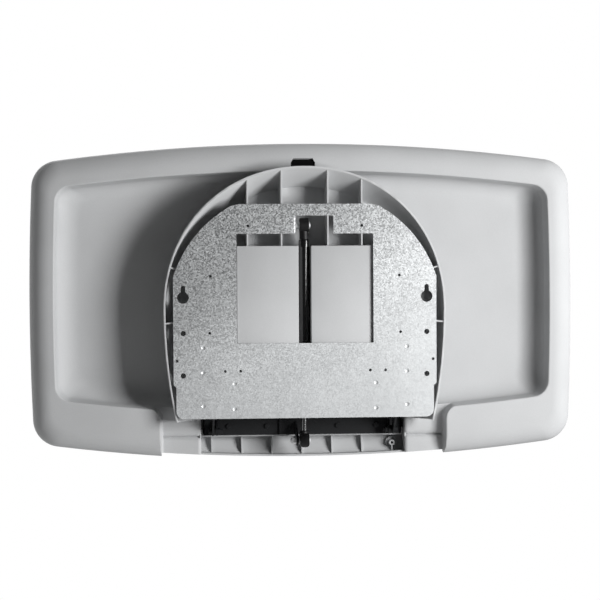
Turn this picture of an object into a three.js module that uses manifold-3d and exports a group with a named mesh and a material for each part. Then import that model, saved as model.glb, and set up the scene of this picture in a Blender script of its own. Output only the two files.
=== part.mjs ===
// Wall-mounted baby changing station, folded up against the wall.
// Millimetres, +Z up. The wall is the plane y = 0 and the room lies at negative y.
// The origin is on the wall, on the centre line, level with the lower pair of wall bolts.
// Depth is the distance from the wall towards the room, so a depth of d lies at y = -d.
// Right and left are as seen from the room, so right is +X.
import * as THREE from 'three';
import { mergeVertices } from 'three/addons/utils/BufferGeometryUtils.js';
import Module from 'manifold-3d';

const wasm = await Module();
wasm.setup();

// Fits and walls. A cutting shape runs past what it cuts, and joined shapes bite into each other.
const touchGap = 0.3;
const runGap = 0.4;
const pinClearance = 0.3;
const cutPast = 10;
const bite = 1;
const seamBite = 0.01;
const shellWall = 3;
const ribWall = 2.4;
const roundSides = 16;
const screwSides = 10;
const crownSteps = 5;
const archSteps = 12;

// Wall fixings: two studs at the usual pitch
const studPitch = 406.4;
const keyholeHeight = 129.5;
const keyholeDiameter = 19.8;
const keyholeSlotWidth = 7.6;
const keyholeRise = 20.2;
const wallBoltDiameter = 9;
const upperBoltHeight = 70.2;

// Mounting plate
const plateThickness = 2.5;
const plateHalfWidth = 219.5;
const plateWaistStep = 4.5;
const plateWaistHeight = -15;
const plateBrow = 19.5;
const plateSkirt = 2;
const plateCornerRadius = 13;
const plateShoulderRadius = 205.6;
const plateShoulderX = 23.6;
const plateShoulderDrop = 183;
const plateBrowDrop = 6;
const plateBrowLead = 9;
const plateBrowRun = 16;
const windowHalfWidth = 114;
const windowBottom = 52.5;
const windowTopDrop = 14;
const springNotchRise = 16;
const springNotchLeft = -47.5;
const springNotchRight = 17;
const springNotchRadius = 3;
const springTabDepth = 33;
const springTabMargin = 1.5;
const smallHoleDiameter = 4.8;
const weldDiameter = 3.2;
const weldDepth = 0.8;
const weldEdge = 10;
const weldFoot = 15.5;
const upperScrewX = 95;
const upperScrewDrop = 36.3;
const middleScrewX = 157.5;
const middleScrewHeight = 164.7;
const lowerScrewX = 159.2;
const lowerScrewRise = 14.3;
const spareHolePoints = [[213.7, 24.5], [133.8, 6.7], [108.3, 6.8]];

// Wall chassis: a D-shaped moulding with a crowned front
const chassisHalfWidth = 235.5;
const chassisLap = 7.6;
const chassisCentreHeight = 108.5;
const chassisSkirt = 8;
const chassisFlankRadius = 862;
const hingeRoomRise = 8;
const chassisFront = 50;
const chassisCrown = 50;
const chassisRibPlaces = [38.7, 95.4];
const chassisGussetAngles = [17, -6];
const chassisGussetLength = 46;
const gussetRoot = 4;
const ribRear = 5;
const screwBossRadius = 7;
const screwSeat = 12;
const screwRadius = 2;
const screwHeadRadius = 4.2;
const screwHeadHeight = 2.6;
const screwTipSink = 1.5;

// Liner pockets in the chassis
const springChannelHalfWidth = 10.5;
const pocketOuter = 113.5;
const pocketTop = 214.3;
const pocketBottom = 20;
const pocketBack = 5;
const bezelBorder = 7;
const bezelThickness = 2.5;

// Bed: two shells that meet at the parting depth
const bedHalfWidth = 457;
const bedHalfHeight = 266;
const bedCentreHeight = 119.4;
const bedTopBow = 33.4;
const bedSideBow = 8.2;
const bedCornerRadius = 46;
const rimDepth = 32;
const partingDepth = 58;
const bedFront = 102;
const rimCrown = 32;
const coverCrown = 60;

// Changing surface, sunk in the tray
const recessSide = 41;
const recessTop = 46;
const recessBottom = 79;
const recessCornerRadius = 28;
const recessFloor = 77;
const recessWallDepth = 20;
const recessDraft = 3.5;
const floorSideRun = 42;
const floorTopRun = 30;
const floorBottomRun = 38;

// Notch in the rim and open bay at the hinge side
const rimNotchHalfWidth = 241;
const rimNotchDraft = 5;
const rimNotchRadius = 20;
const bayHalfWidth = 172;
const bayRise = 76.6;
const shoulderBulge = 5.5;
const shoulderTopRise = 96.6;
const lipCreaseRise = 40.6;
const lipRelief = 6;
const rimNotchSteps = 5;
const bayRibPitch = 51;
const bayWallShort = 10;
const shelfDrop = 8.5;
const shelfEndGap = 1.2;
const shelfUpstand = 10;
const shelfGap = 3.5;
const ribStep = 2;
const ribSlant = 11;
const bossRadius = 6;
const pillarRadius = 9.6;
const pillarHoleRadius = 2.2;
const pillarDrop = 16;
const pillarStepRun = 12;
const floorPropPlaces = [-250, -110, 110, 250];

// Hinge
const hingeDepth = 52;
const hingeRise = 50.1;
const hingePinRadius = 3.5;
const fixedEarRadius = 8;
const movingEarRadius = 7.5;
const earThickness = 3;
const earInset = 18;
const bushFlange = 3.3;
const bushFlangeRadius = 7;
const bushWall = 1.2;
const bracketFootRise = 30.5;
const bracketInnerHeight = 62;
const bracketOuterHeight = 122;
const bracketInner = 108;
const bracketReach = 180;
const armBack = 10;
const armFootDrop = 6;
const armFootRise = 2;
const pinHead = 5;
const pinHeadRatio = 1.5;
const nutRatio = 1.7;
const collarRatio = 1.6;
const pinTail = 8;
const hingeNutHeight = 5;
const channelThickness = 2.5;
const channelFlange = 18;
const channelEnd = 6;
const channelDrop = 5;
const webGap = 6;
const channelScrewPlaces = [-125, -60, 60, 125];
const channelScrewLength = 14;

// Gas spring
const upperPivotDepth = 19;
const upperPivotHeight = 248.5;
const lowerPivotDepth = 35;
const lowerPivotRise = 34.6;
const pivotPinRadius = 4;
const upperNutHeight = 5;
const lowerNutHeight = 7;
const threadProud = 2;
const clipGroove = 0.8;
const clipClearance = 0.25;
const clipThickness = 1.2;
const clipPlay = 0.2;
const clipMouth = Math.PI / 5;
const fittingHalfWidth = 7.5;
const fittingRadius = 12;
const fittingNeck = 23.5;
const tubeRadius = 9;
const tubeWall = 1.5;
const tubeLength = 240;
const tubeHead = 8;
const rodRadius = 4;
const rodSeat = 4;
const rodGuideLength = 14;
const rodGuideCollar = 4;
const pistonLength = 10;
const pistonGap = 1;
const pistonNeck = 4;
const pistonNeckStep = 1;
const pistonNeckProud = 2;
const lowerEyeLateralPlay = 6.9;
const lowerEyeAxialPlay = 0.7;
const lowerEyeClearance = 0.9;
const leverThickness = 3.5;
const leverGap = 1.5;
const leverRadius = 9;
const leverFoot = 30;

// Rim bumper
const bumperHalfWidth = 20;
const bumperTall = 19.1;
const bumperHeight = 8.7;
const bumperSink = 3;
const bumperRadius = 3;

// Safety strap on the tray floor
const strapHalfWidth = 19;
const strapThickness = 1.6;
const strapTopDrop = 41.4;
const strapBottomRise = 142.6;
const buckleRise = 30.6;
const buckleHalfWidth = 23;
const buckleHalfLength = 34;
const buckleThickness = 12;
const buckleWall = 2;
const socketEnd = 8;
const barbRise = 11;
const barbDrop = 13;
const tongueArm = 4;
const anchorHalfWidth = 31;
const anchorHalfHeight = 9;
const anchorThickness = 2.5;
const strapScrewProud = 4;

// Finishes
function finish(color, roughness, metalness) {
  return new THREE.MeshStandardMaterial({ color, roughness, metalness });
}
const greyPlastic = finish(0xc9cacb, 0.55, 0);
const galvanised = finish(0xb9bcbf, 0.45, 0.9);
const blackSteel = finish(0x19191a, 0.6, 0.5);
const brightSteel = finish(0xc4c5c6, 0.3, 1);
const blackPlastic = finish(0x161617, 0.5, 0);
const blackRubber = finish(0x121212, 0.85, 0);
const webbing = finish(0x24262a, 0.9, 0);

// Places that follow from the sizes above
const bedTop = bedCentreHeight + bedHalfHeight;
const bedBottom = bedCentreHeight - bedHalfHeight;
const recessEdgeTop = bedTop - recessTop;
const recessFloorBottom = bedBottom + recessBottom + floorBottomRun + cutPast;
const bayTop = bedBottom + bayRise;
const shoulderTop = bedBottom + shoulderTopRise;
const lipCrease = bedBottom + lipCreaseRise;
const hingeHeight = bedBottom + hingeRise;
const lowerPivotHeight = bedBottom + lowerPivotRise;
const plateBottom = bayTop - plateSkirt;
const chassisBottom = bayTop - chassisSkirt;
const hingeRoomTop = bayTop + hingeRoomRise;
const bracketBottom = hingeHeight + bracketFootRise;
const bracketStep = bracketBottom + bracketInnerHeight;
const bracketTop = bracketBottom + bracketOuterHeight;
const windowTop = upperPivotHeight - windowTopDrop;
const springNotchTop = upperPivotHeight + springNotchRise;
const plateTop = springNotchTop + plateBrow;
const plateShoulderHeight = plateTop - plateShoulderDrop;
const chassisScrewPoints = [
  [upperScrewX, plateTop - upperScrewDrop],
  [middleScrewX, middleScrewHeight],
  [lowerScrewX, bracketTop + lowerScrewRise],
];
const chassisRise = recessEdgeTop + chassisLap - chassisCentreHeight;
const chassisRear = plateThickness + touchGap;
const bayFloor = partingDepth - 1;
const bayWallEnd = bedFront - bayWallShort;
const fixedEarX = bayHalfWidth - earInset - earThickness;
const movingEarX = fixedEarX - bushFlange - 2 * touchGap - earThickness;
const webDepth = hingeDepth + fixedEarRadius + webGap;
const shelfTop = hingeHeight - shelfDrop;
const shelfRear = webDepth + channelThickness + shelfGap;
const ribStart = shelfRear + ribStep;
const pillarStep = shelfRear + pillarStepRun;
const pillarHeight = shelfTop - pillarDrop;
const floorBack = recessFloor + shellWall;
const strapRear = recessFloor - touchGap - strapThickness;
const strapTop = recessEdgeTop - strapTopDrop;
const strapBottom = bedBottom + strapBottomRise;
const buckleHeight = bedCentreHeight + buckleRise;
const springRun = lowerPivotDepth - upperPivotDepth;
const springDrop = upperPivotHeight - lowerPivotHeight;
const springLength = Math.hypot(springRun, springDrop);
const springTilt = Math.atan2(springRun, springDrop);
const channelTop = bayTop - channelDrop;
const bumperTop = recessEdgeTop + bumperTall;
const channelScrewHeight = (channelTop + shelfTop) / 2;
const channelScrewTip = webDepth + channelScrewLength;

// A closed body from a three.js geometry, with its faces turned outwards.
function solid(geometry) {
  const bare = new THREE.BufferGeometry();
  bare.setAttribute('position', geometry.getAttribute('position'));
  bare.setIndex(geometry.getIndex());
  const merged = mergeVertices(bare, 1e-4);
  const vertices = merged.getAttribute('position').array;
  const index = merged.getIndex().array;
  const corner = (i) => new THREE.Vector3().fromArray(vertices, 3 * i);
  const triangles = [];
  let volume = 0;
  for (let i = 0; i < index.length; i += 3) {
    const [a, b, c] = index.slice(i, i + 3);
    if (a === b || b === c || c === a) continue;
    triangles.push([a, b, c]);
    volume += corner(a).dot(corner(b).cross(corner(c)));
  }
  const turned = volume < 0 ? triangles.map(([a, b, c]) => [a, c, b]) : triangles;
  const mesh = new wasm.Mesh({
    numProp: 3,
    vertProperties: Float32Array.from(vertices),
    triVerts: Uint32Array.from(turned.flat()),
  });
  return new wasm.Manifold(mesh);
}

// The three.js geometry of a closed body.
function geometryOf(body) {
  const { vertProperties, triVerts } = body.getMesh();
  const geometry = new THREE.BufferGeometry();
  geometry.setAttribute('position', new THREE.Float32BufferAttribute(vertProperties, 3));
  geometry.setIndex(new THREE.Uint32BufferAttribute(triVerts, 1));
  geometry.computeVertexNormals();
  return geometry;
}

const joined = (bodies) => bodies.reduce((whole, body) => whole.add(body));
const cut = (body, tools) => tools.reduce((rest, tool) => rest.subtract(tool), body);
const bothSides = (make) => [1, -1].map(make);

// A box between two values of x, of depth and of height.
function box(x0, x1, depth0, depth1, z0, z1) {
  const geometry = new THREE.BoxGeometry(Math.abs(x1 - x0), depth1 - depth0, z1 - z0);
  geometry.translate((x0 + x1) / 2, -(depth0 + depth1) / 2, (z0 + z1) / 2);
  return solid(geometry);
}

// A round or six-sided bar along X, or along the depth.
function barX(radius, x0, x1, depth, z, sides = roundSides) {
  const geometry = new THREE.CylinderGeometry(radius, radius, Math.abs(x1 - x0), sides);
  geometry.rotateZ(Math.PI / 2);
  geometry.translate((x0 + x1) / 2, -depth, z);
  return solid(geometry);
}

function barDepth(radius, depth0, depth1, x, z, sides = roundSides) {
  const geometry = new THREE.CylinderGeometry(radius, radius, depth1 - depth0, sides);
  geometry.translate(x, -(depth0 + depth1) / 2, z);
  return solid(geometry);
}

// A flat outline in x and z, pushed along the depth.
function plateOf(shape, depth0, depth1) {
  const geometry = new THREE.ExtrudeGeometry(shape, {
    depth: depth1 - depth0,
    bevelEnabled: false,
    curveSegments: 8,
  });
  geometry.rotateX(Math.PI / 2);
  geometry.translate(0, -depth0, 0);
  return solid(geometry);
}

// A profile in depth and z, pushed along X.
function sectionOf(shape, x0, x1) {
  const geometry = new THREE.ExtrudeGeometry(shape, {
    depth: Math.abs(x1 - x0),
    bevelEnabled: false,
    curveSegments: 8,
  });
  const depthAxis = new THREE.Vector3(0, -1, 0);
  const heightAxis = new THREE.Vector3(0, 0, 1);
  const widthAxis = new THREE.Vector3(1, 0, 0);
  geometry.applyMatrix4(new THREE.Matrix4().makeBasis(depthAxis, heightAxis, widthAxis));
  geometry.translate(Math.min(x0, x1), 0, 0);
  return solid(geometry);
}

// A skin through flat outlines that share one number of points, each at its own depth.
function loft(levels) {
  const count = levels[0].outline.length;
  const positions = levels.flatMap(({ depth, outline }) => outline.flatMap((p) => [p.x, -depth, p.y]));
  const index = [];
  for (let level = 0; level + 1 < levels.length; level += 1) {
    for (let i = 0; i < count; i += 1) {
      const a = level * count + i;
      const b = level * count + ((i + 1) % count);
      index.push(a, b, b + count, a, b + count, a + count);
    }
  }
  const last = (levels.length - 1) * count;
  const firstCap = THREE.ShapeUtils.triangulateShape(levels[0].outline, []);
  const lastCap = THREE.ShapeUtils.triangulateShape(levels[levels.length - 1].outline, []);
  firstCap.forEach(([a, b, c]) => index.push(a, c, b));
  lastCap.forEach(([a, b, c]) => index.push(last + a, last + b, last + c));
  const geometry = new THREE.BufferGeometry();
  geometry.setAttribute('position', new THREE.Float32BufferAttribute(positions, 3));
  geometry.setIndex(index);
  return solid(geometry);
}

// Points along an arc, from one angle to another, without the first point.
function arcPoints(centre, radius, from, to, steps) {
  const points = [];
  for (let i = 1; i <= steps; i += 1) {
    const angle = from + ((to - from) * i) / steps;
    points.push(new THREE.Vector2(centre.x + radius * Math.cos(angle), centre.y + radius * Math.sin(angle)));
  }
  return points;
}

// A whole outline from its right half, which runs from the bottom to the top of the centre line.
function mirroredOutline(rightHalf) {
  const leftHalf = rightHalf.filter((p) => p.x > 1e-6).reverse();
  return [...rightHalf, ...leftHalf.map((p) => new THREE.Vector2(-p.x, p.y))];
}

const bowRadius = (halfSpan, bow) => (halfSpan * halfSpan + bow * bow) / (2 * bow);
const topBowRadius = bowRadius(bedHalfWidth, bedTopBow);
const sideBowRadius = bowRadius(bedHalfHeight, bedSideBow);

// The centre of a round corner that touches two bowed sides from inside.
function cornerCentre(sideArc, endArc, radius, up) {
  const a = sideArc.radius - radius;
  const b = endArc.radius - radius;
  const span = endArc.centre.clone().sub(sideArc.centre);
  const distance = span.length();
  const along = (a * a - b * b + distance * distance) / (2 * distance);
  const across = Math.sqrt(a * a - along * along);
  const unit = span.divideScalar(distance);
  const normal = new THREE.Vector2(unit.y, -unit.x).multiplyScalar(across);
  const foot = sideArc.centre.clone().addScaledVector(unit, along);
  const candidates = [foot.clone().add(normal), foot.clone().sub(normal)];
  return candidates.find((p) => p.x > 0 && (p.y - bedCentreHeight) * up > 0);
}

// The bed's outline with its sides, top and bottom each set in by their own amount.
function bedOutline({ side, top, bottom, radius }) {
  const topArc = {
    centre: new THREE.Vector2(0, bedCentreHeight + bedHalfHeight - topBowRadius),
    radius: topBowRadius - top,
  };
  const bottomArc = {
    centre: new THREE.Vector2(0, bedCentreHeight - bedHalfHeight + topBowRadius),
    radius: topBowRadius - bottom,
  };
  const sideArc = {
    centre: new THREE.Vector2(bedHalfWidth - sideBowRadius, bedCentreHeight),
    radius: sideBowRadius - side,
  };
  const upper = cornerCentre(sideArc, topArc, radius, 1);
  const lower = cornerCentre(sideArc, bottomArc, radius, -1);
  const angleFrom = (arc, corner) => corner.clone().sub(arc.centre).angle();
  const wrapped = (angle) => (angle > Math.PI ? angle - 2 * Math.PI : angle);
  const bottomEnd = wrapped(angleFrom(bottomArc, lower));
  const sideStart = wrapped(angleFrom(sideArc, lower));
  const sideEnd = wrapped(angleFrom(sideArc, upper));
  const topStart = wrapped(angleFrom(topArc, upper));
  return mirroredOutline([
    new THREE.Vector2(0, bottomArc.centre.y - bottomArc.radius),
    ...arcPoints(bottomArc.centre, bottomArc.radius, -Math.PI / 2, bottomEnd, 5),
    ...arcPoints(lower, radius, bottomEnd, sideStart, 5),
    ...arcPoints(sideArc.centre, sideArc.radius, sideStart, sideEnd, 4),
    ...arcPoints(upper, radius, sideEnd, topStart, 5),
    ...arcPoints(topArc.centre, topArc.radius, topStart, Math.PI / 2, 5),
  ]);
}

const evenInset = (inset, radius) => bedOutline({ side: inset, top: inset, bottom: inset, radius });

// Angles of a quarter turn, from nothing to a right angle.
const quarterTurn = Array.from({ length: crownSteps + 1 }, (_, i) => (i * Math.PI) / 2 / crownSteps);

// A crowned bed shell: a quarter ellipse carries the outline from the parting to the flat face.
// A skirt, where there is one, carries the outline straight on past the parting.
function crownedBody(partDepth, faceDepth, inset, crown, skirt = 0) {
  const cornerLoss = (bedCornerRadius - recessCornerRadius) / recessSide;
  const levels = quarterTurn.map((angle) => {
    const setIn = inset + (crown - inset) * (1 - Math.cos(angle));
    const radius = bedCornerRadius - inset - cornerLoss * (setIn - inset);
    const depth = partDepth + (faceDepth - partDepth) * Math.sin(angle);
    return { depth, outline: evenInset(setIn, radius) };
  });
  const skirtDepth = partDepth - skirt * Math.sign(faceDepth - partDepth);
  const skirtLevel = { depth: skirtDepth, outline: levels[0].outline };
  return loft(skirt > 0 ? [skirtLevel, ...levels] : levels);
}

// The hollow of the changing surface, grown outwards by an amount all over.
function recessBody(grow, mouthDepth) {
  const level = (depth, share) => ({
    depth,
    outline: bedOutline({
      side: recessSide - grow + recessDraft + (floorSideRun - recessDraft) * share,
      top: recessTop - grow + recessDraft + (floorTopRun - recessDraft) * share,
      bottom: recessBottom - grow + recessDraft + (floorBottomRun - recessDraft) * share,
      radius: recessCornerRadius + grow,
    }),
  });
  const wallEnd = rimDepth + recessWallDepth;
  const edge = { side: recessSide - grow, top: recessTop - grow, bottom: recessBottom - grow };
  const mouth = { depth: mouthDepth, outline: bedOutline({ ...edge, radius: recessCornerRadius + grow }) };
  const bowl = quarterTurn.map((angle) => {
    const depth = wallEnd + (recessFloor + grow - wallEnd) * Math.sin(angle);
    return level(depth, 1 - Math.cos(angle));
  });
  return loft([mouth, ...bowl]);
}

// What the rim loses at the hinge side: a drafted notch with a bulged floor, grown by an amount.
function rimNotchBody(grow) {
  const arcX = rimNotchHalfWidth + rimNotchRadius;
  const edgeHeight = bedBottom + recessBottom + bedTopBow * (arcX / bedHalfWidth) ** 2;
  const arcCentre = new THREE.Vector2(arcX, edgeHeight - rimNotchRadius);
  const low = bedBottom - cutPast;
  const high = recessFloorBottom;
  const outlineAt = (halfWidth) => mirroredOutline([
    new THREE.Vector2(0, low),
    new THREE.Vector2(halfWidth, low),
    new THREE.Vector2(halfWidth, arcCentre.y),
    ...arcPoints(arcCentre, arcX - halfWidth, Math.PI, Math.PI / 2, rimNotchSteps),
    new THREE.Vector2(arcCentre.x, high),
    new THREE.Vector2(0, high),
  ]);
  const start = rimDepth - cutPast;
  const walls = loft([
    { depth: start, outline: outlineAt(rimNotchHalfWidth + grow + bite) },
    { depth: partingDepth + cutPast, outline: outlineAt(rimNotchHalfWidth + grow - rimNotchDraft) },
  ]);
  const floor = bayFloor + grow;
  const bulged = floor - shoulderBulge;
  const profile = new THREE.Shape();
  profile.moveTo(start, high);
  profile.lineTo(floor, high);
  profile.lineTo(floor, shoulderTop);
  profile.quadraticCurveTo(bulged, (shoulderTop + lipCrease) / 2, floor, lipCrease);
  profile.quadraticCurveTo(bulged + bite, (lipCrease + low) / 2, floor + bite, low - bite);
  profile.lineTo(start, low - bite);
  profile.closePath();
  return walls.intersect(sectionOf(profile, -arcX - cutPast, arcX + cutPast));
}

// The strip that the bed's lower edge loses along the notch, grown by an amount.
function lipReliefBody(grow) {
  const w = rimNotchHalfWidth - rimNotchDraft / 2 + grow;
  const kept = bedOutline({ side: 0, top: 0, bottom: lipRelief + grow, radius: bedCornerRadius });
  const strip = box(-w, w, 0, bedFront, bedBottom - cutPast, bedBottom + recessBottom);
  return strip.subtract(plateOf(new THREE.Shape(kept), -bite, bedFront + bite));
}

// The room inside the cover, less a gap.
const insideCover = (gap) => crownedBody(
  partingDepth,
  bedFront - shellWall - gap,
  shellWall + gap,
  coverCrown,
  partingDepth - rimDepth,
).subtract(lipReliefBody(shellWall + gap));

// The walls that close the tray round the hinge bay.
function bayWalls(recess) {
  const outer = bayHalfWidth + ribWall;
  const rear = bayFloor - bite;
  const ends = bothSides((s) => box(s * bayHalfWidth, s * outer, rear, bayWallEnd, bedBottom, bayTop));
  const roof = box(-outer, outer, rear, bayWallEnd, bayTop, bayTop + ribWall);
  const walls = joined([...ends, roof]).intersect(insideCover(2 * touchGap));
  return cut(walls, [rimNotchBody(0), recess]);
}

function bedTray() {
  const recess = recessBody(0, rimDepth - 2 * bite);
  const body = crownedBody(partingDepth, rimDepth, 0, rimCrown);
  const shell = body.add(recessBody(shellWall, rimDepth + bite));
  const skin = cut(shell, [recess, rimNotchBody(0), lipReliefBody(0)]);
  const under = crownedBody(partingDepth, rimDepth + shellWall, shellWall, rimCrown, cutPast / 2);
  const kept = [recessBody(shellWall, rimDepth - bite), rimNotchBody(shellWall), lipReliefBody(shellWall)];
  const hollow = cut(under, kept);
  const bumperFloor = rimDepth + bumperSink + bumperHeight + touchGap;
  const bumperWall = bumperHalfWidth + shellWall;
  const pocketWalls = box(-bumperWall, bumperWall, rimDepth + bite, bumperFloor + shellWall,
    recessEdgeTop - bite, bumperTop + shellWall);
  const whole = joined([skin.subtract(hollow), bayWalls(recess), pocketWalls]);
  const wide = bedHalfWidth + cutPast;
  const behind = box(-wide, wide, partingDepth, bedFront, bedBottom - cutPast, bedTop + cutPast);
  const edgeBand = behind.subtract(insideCover(2 * touchGap));
  const bay = box(-bayHalfWidth, bayHalfWidth, 0, bedFront, bedBottom - cutPast, bayTop);
  const bumperPocket = plateOf(bumperShape(0), rimDepth - bite, bumperFloor);
  const strapHoles = strapScrewPlaces.map(([x, z]) => barDepth(screwRadius + pinClearance,
    recessFloor - bite, floorBack + bite, x, z, screwSides));
  return cut(whole, [edgeBand, bay, bumperPocket, recess, ...strapHoles]);
}

// The rim bumper's outline, drawn in by a gap.
function bumperShape(gap) {
  const w = bumperHalfWidth - gap;
  const top = bumperTop - gap;
  const bottom = recessEdgeTop + 2 * gap - (gap ? 0 : cutPast);
  const shape = new THREE.Shape();
  shape.moveTo(-w, bottom);
  shape.lineTo(w, bottom);
  shape.lineTo(w, top - bumperRadius);
  shape.quadraticCurveTo(w, top, w - bumperRadius, top);
  shape.lineTo(-w + bumperRadius, top);
  shape.quadraticCurveTo(-w, top, -w, top - bumperRadius);
  shape.closePath();
  return shape;
}

function rimBumper() {
  return plateOf(bumperShape(touchGap), rimDepth + bumperSink, rimDepth + bumperSink + bumperHeight);
}

function bedCover() {
  const edge = partingDepth + touchGap;
  const outer = crownedBody(edge, bedFront, 0, coverCrown).subtract(lipReliefBody(0));
  const inside = crownedBody(edge, bedFront - shellWall, shellWall, coverCrown, bite);
  const hollow = inside.subtract(lipReliefBody(shellWall));
  const trim = crownedBody(edge + bite, bedFront - bite, bite, coverCrown).subtract(lipReliefBody(bite));
  const shelfEnd = bayHalfWidth - shelfEndGap;
  const shelf = box(-shelfEnd, shelfEnd, shelfRear, bedFront, shelfTop - ribWall, shelfTop);
  const upstands = bothSides((s) => box(s * (shelfEnd - ribWall), s * shelfEnd, shelfRear, bedFront,
    shelfTop - bite, shelfTop + shelfUpstand));
  const ribAt = (x, depth, z0, z1) => box(x - ribWall / 2, x + ribWall / 2, depth, bedFront, z0, z1);
  const bayRib = new THREE.Shape([
    new THREE.Vector2(ribStart + ribSlant, shelfTop),
    new THREE.Vector2(ribStart, bedBottom + lipRelief),
    new THREE.Vector2(bedFront, bedBottom + lipRelief),
    new THREE.Vector2(bedFront, shelfTop),
  ]);
  const ribs = [-2, -1, 0, 1, 2, 3].map((i) => sectionOf(bayRib, i * bayRibPitch - ribWall / 2,
    i * bayRibPitch + ribWall / 2));
  const pillarX = -3 * bayRibPitch;
  const pillar = [
    barDepth(pillarRadius, pillarStep, bedFront, pillarX, pillarHeight),
    barDepth(pillarRadius / 2, shelfRear + bite, bedFront, pillarX, pillarHeight),
    ribAt(pillarX, ribStart, bedBottom, pillarHeight),
  ];
  const bossStart = webDepth + channelThickness + touchGap;
  const bossAt = (x) => barDepth(bossRadius, bossStart, bedFront, x, channelScrewHeight);
  const bosses = channelScrewPlaces.map(bossAt);
  const floorProps = floorPropPlaces.map((x) => ribAt(x, floorBack + touchGap, shoulderTop + floorBottomRun,
    recessEdgeTop - floorTopRun));
  const inner = joined([shelf, ...upstands, ...ribs, ...pillar, ...bosses, ...floorProps]).intersect(trim);
  const pilots = channelScrewPlaces.map((x) => barDepth(screwRadius + pinClearance, webDepth,
    channelScrewTip + 2 * bite, x, channelScrewHeight, screwSides));
  const pillarHole = barDepth(pillarHoleRadius, shelfRear, pillarStep, pillarX, pillarHeight, screwSides);
  return cut(outer.subtract(hollow).add(inner), [...pilots, pillarHole]);
}

// A round-ended arm in depth and z: a foot, as points from its last side to its first, and an eye.
function armShape(eye, radius, foot) {
  const tangent = (from, turn) => {
    const reach = eye.clone().sub(from);
    const along = reach.angle() + Math.asin(radius / reach.length()) * turn;
    const length = Math.sqrt(reach.lengthSq() - radius * radius);
    return new THREE.Vector2(from.x + length * Math.cos(along), from.y + length * Math.sin(along));
  };
  const start = tangent(foot[foot.length - 1], 1);
  const startAngle = start.clone().sub(eye).angle();
  const endAngle = tangent(foot[0], -1).sub(eye).angle();
  const turned = endAngle > startAngle ? endAngle - 2 * Math.PI : endAngle;
  return new THREE.Shape([...foot, start, ...arcPoints(eye, radius, startAngle, turned, 10)]);
}

function hingeBracket(s) {
  const ear = s * fixedEarX;
  const base = new THREE.Shape();
  base.moveTo(s * bracketInner, bracketBottom);
  base.lineTo(s * bracketReach, bracketBottom);
  base.lineTo(s * bracketReach, bracketTop);
  base.lineTo(ear, bracketTop);
  base.lineTo(ear, bracketStep);
  base.lineTo(s * bracketInner, bracketStep);
  base.closePath();
  const flange = plateOf(base, chassisRear, chassisRear + earThickness);
  const foot = [
    new THREE.Vector2(chassisRear + bite, bracketBottom + armFootRise),
    new THREE.Vector2(chassisRear + bite, bracketStep - armFootDrop),
    new THREE.Vector2(chassisRear + armBack, bracketStep - armFootDrop),
  ];
  const eye = new THREE.Vector2(hingeDepth, hingeHeight);
  const arm = sectionOf(armShape(eye, fixedEarRadius, foot), ear, ear + s * earThickness);
  const bushHole = hingePinRadius + pinClearance + bushWall + touchGap;
  const bore = barX(bushHole, ear - s * bite, ear + s * (earThickness + bite), hingeDepth, hingeHeight);
  return flange.add(arm).subtract(bore);
}

function hingeBush(s) {
  const inner = fixedEarX - touchGap - bushFlange;
  const outer = fixedEarX + earThickness;
  const bore = hingePinRadius + pinClearance;
  const flange = barX(bushFlangeRadius, s * inner, s * (fixedEarX - touchGap), hingeDepth, hingeHeight);
  const sleeve = barX(bore + bushWall, s * inner, s * outer, hingeDepth, hingeHeight);
  const hole = barX(bore, s * (inner - bite), s * (outer + bite), hingeDepth, hingeHeight);
  return flange.add(sleeve).subtract(hole);
}

function hingePin(s) {
  const headStart = fixedEarX + earThickness + touchGap;
  const shankEnd = movingEarX - pinTail;
  const head = barX(pinHeadRatio * hingePinRadius, s * headStart, s * (headStart + pinHead),
    hingeDepth, hingeHeight);
  return head.add(barX(hingePinRadius, s * shankEnd, s * (headStart + bite), hingeDepth, hingeHeight));
}

function hingeNut(s) {
  const outer = movingEarX - touchGap;
  const inner = outer - hingeNutHeight;
  const body = barX(nutRatio * hingePinRadius, s * inner, s * outer, hingeDepth, hingeHeight, 6);
  const bore = hingePinRadius + pinClearance;
  return body.subtract(barX(bore, s * (inner - bite), s * (outer + bite), hingeDepth, hingeHeight));
}

function hingeChannel() {
  const end = bayHalfWidth - channelEnd;
  const bottom = shelfTop + touchGap;
  const front = webDepth + channelFlange;
  const web = box(-end, end, webDepth, webDepth + channelThickness, bottom, channelTop);
  const flanges = [bottom, channelTop - channelThickness].map((z) => box(-end, end, webDepth, front,
    z, z + channelThickness));
  const eye = new THREE.Vector2(hingeDepth, hingeHeight);
  const footTop = new THREE.Vector2(webDepth + bite, channelTop);
  const footBottom = new THREE.Vector2(webDepth + bite, bottom);
  const earShape = armShape(eye, movingEarRadius, [footTop, footBottom]);
  const ears = bothSides((s) => sectionOf(earShape, s * movingEarX, s * (movingEarX + earThickness)));
  const bores = bothSides((s) => barX(hingePinRadius + pinClearance, s * (movingEarX - bite),
    s * (movingEarX + earThickness + bite), hingeDepth, hingeHeight));
  const holes = channelScrewPlaces.map((x) => barDepth(screwRadius + pinClearance, webDepth - bite,
    webDepth + channelThickness + bite, x, channelScrewHeight, screwSides));
  return cut(joined([web, ...flanges, ...ears]), [...bores, ...holes]);
}

// A pan-head screw that points along the depth, or back towards the wall.
function screw(x, z, seat, tip) {
  const way = Math.sign(tip - seat);
  const ends = (a, b) => [Math.min(a, b), Math.max(a, b)];
  const head = barDepth(screwHeadRadius, ...ends(seat - way * screwHeadHeight, seat), x, z, screwSides);
  return head.add(barDepth(screwRadius, ...ends(seat - way, tip), x, z, screwSides));
}

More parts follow.
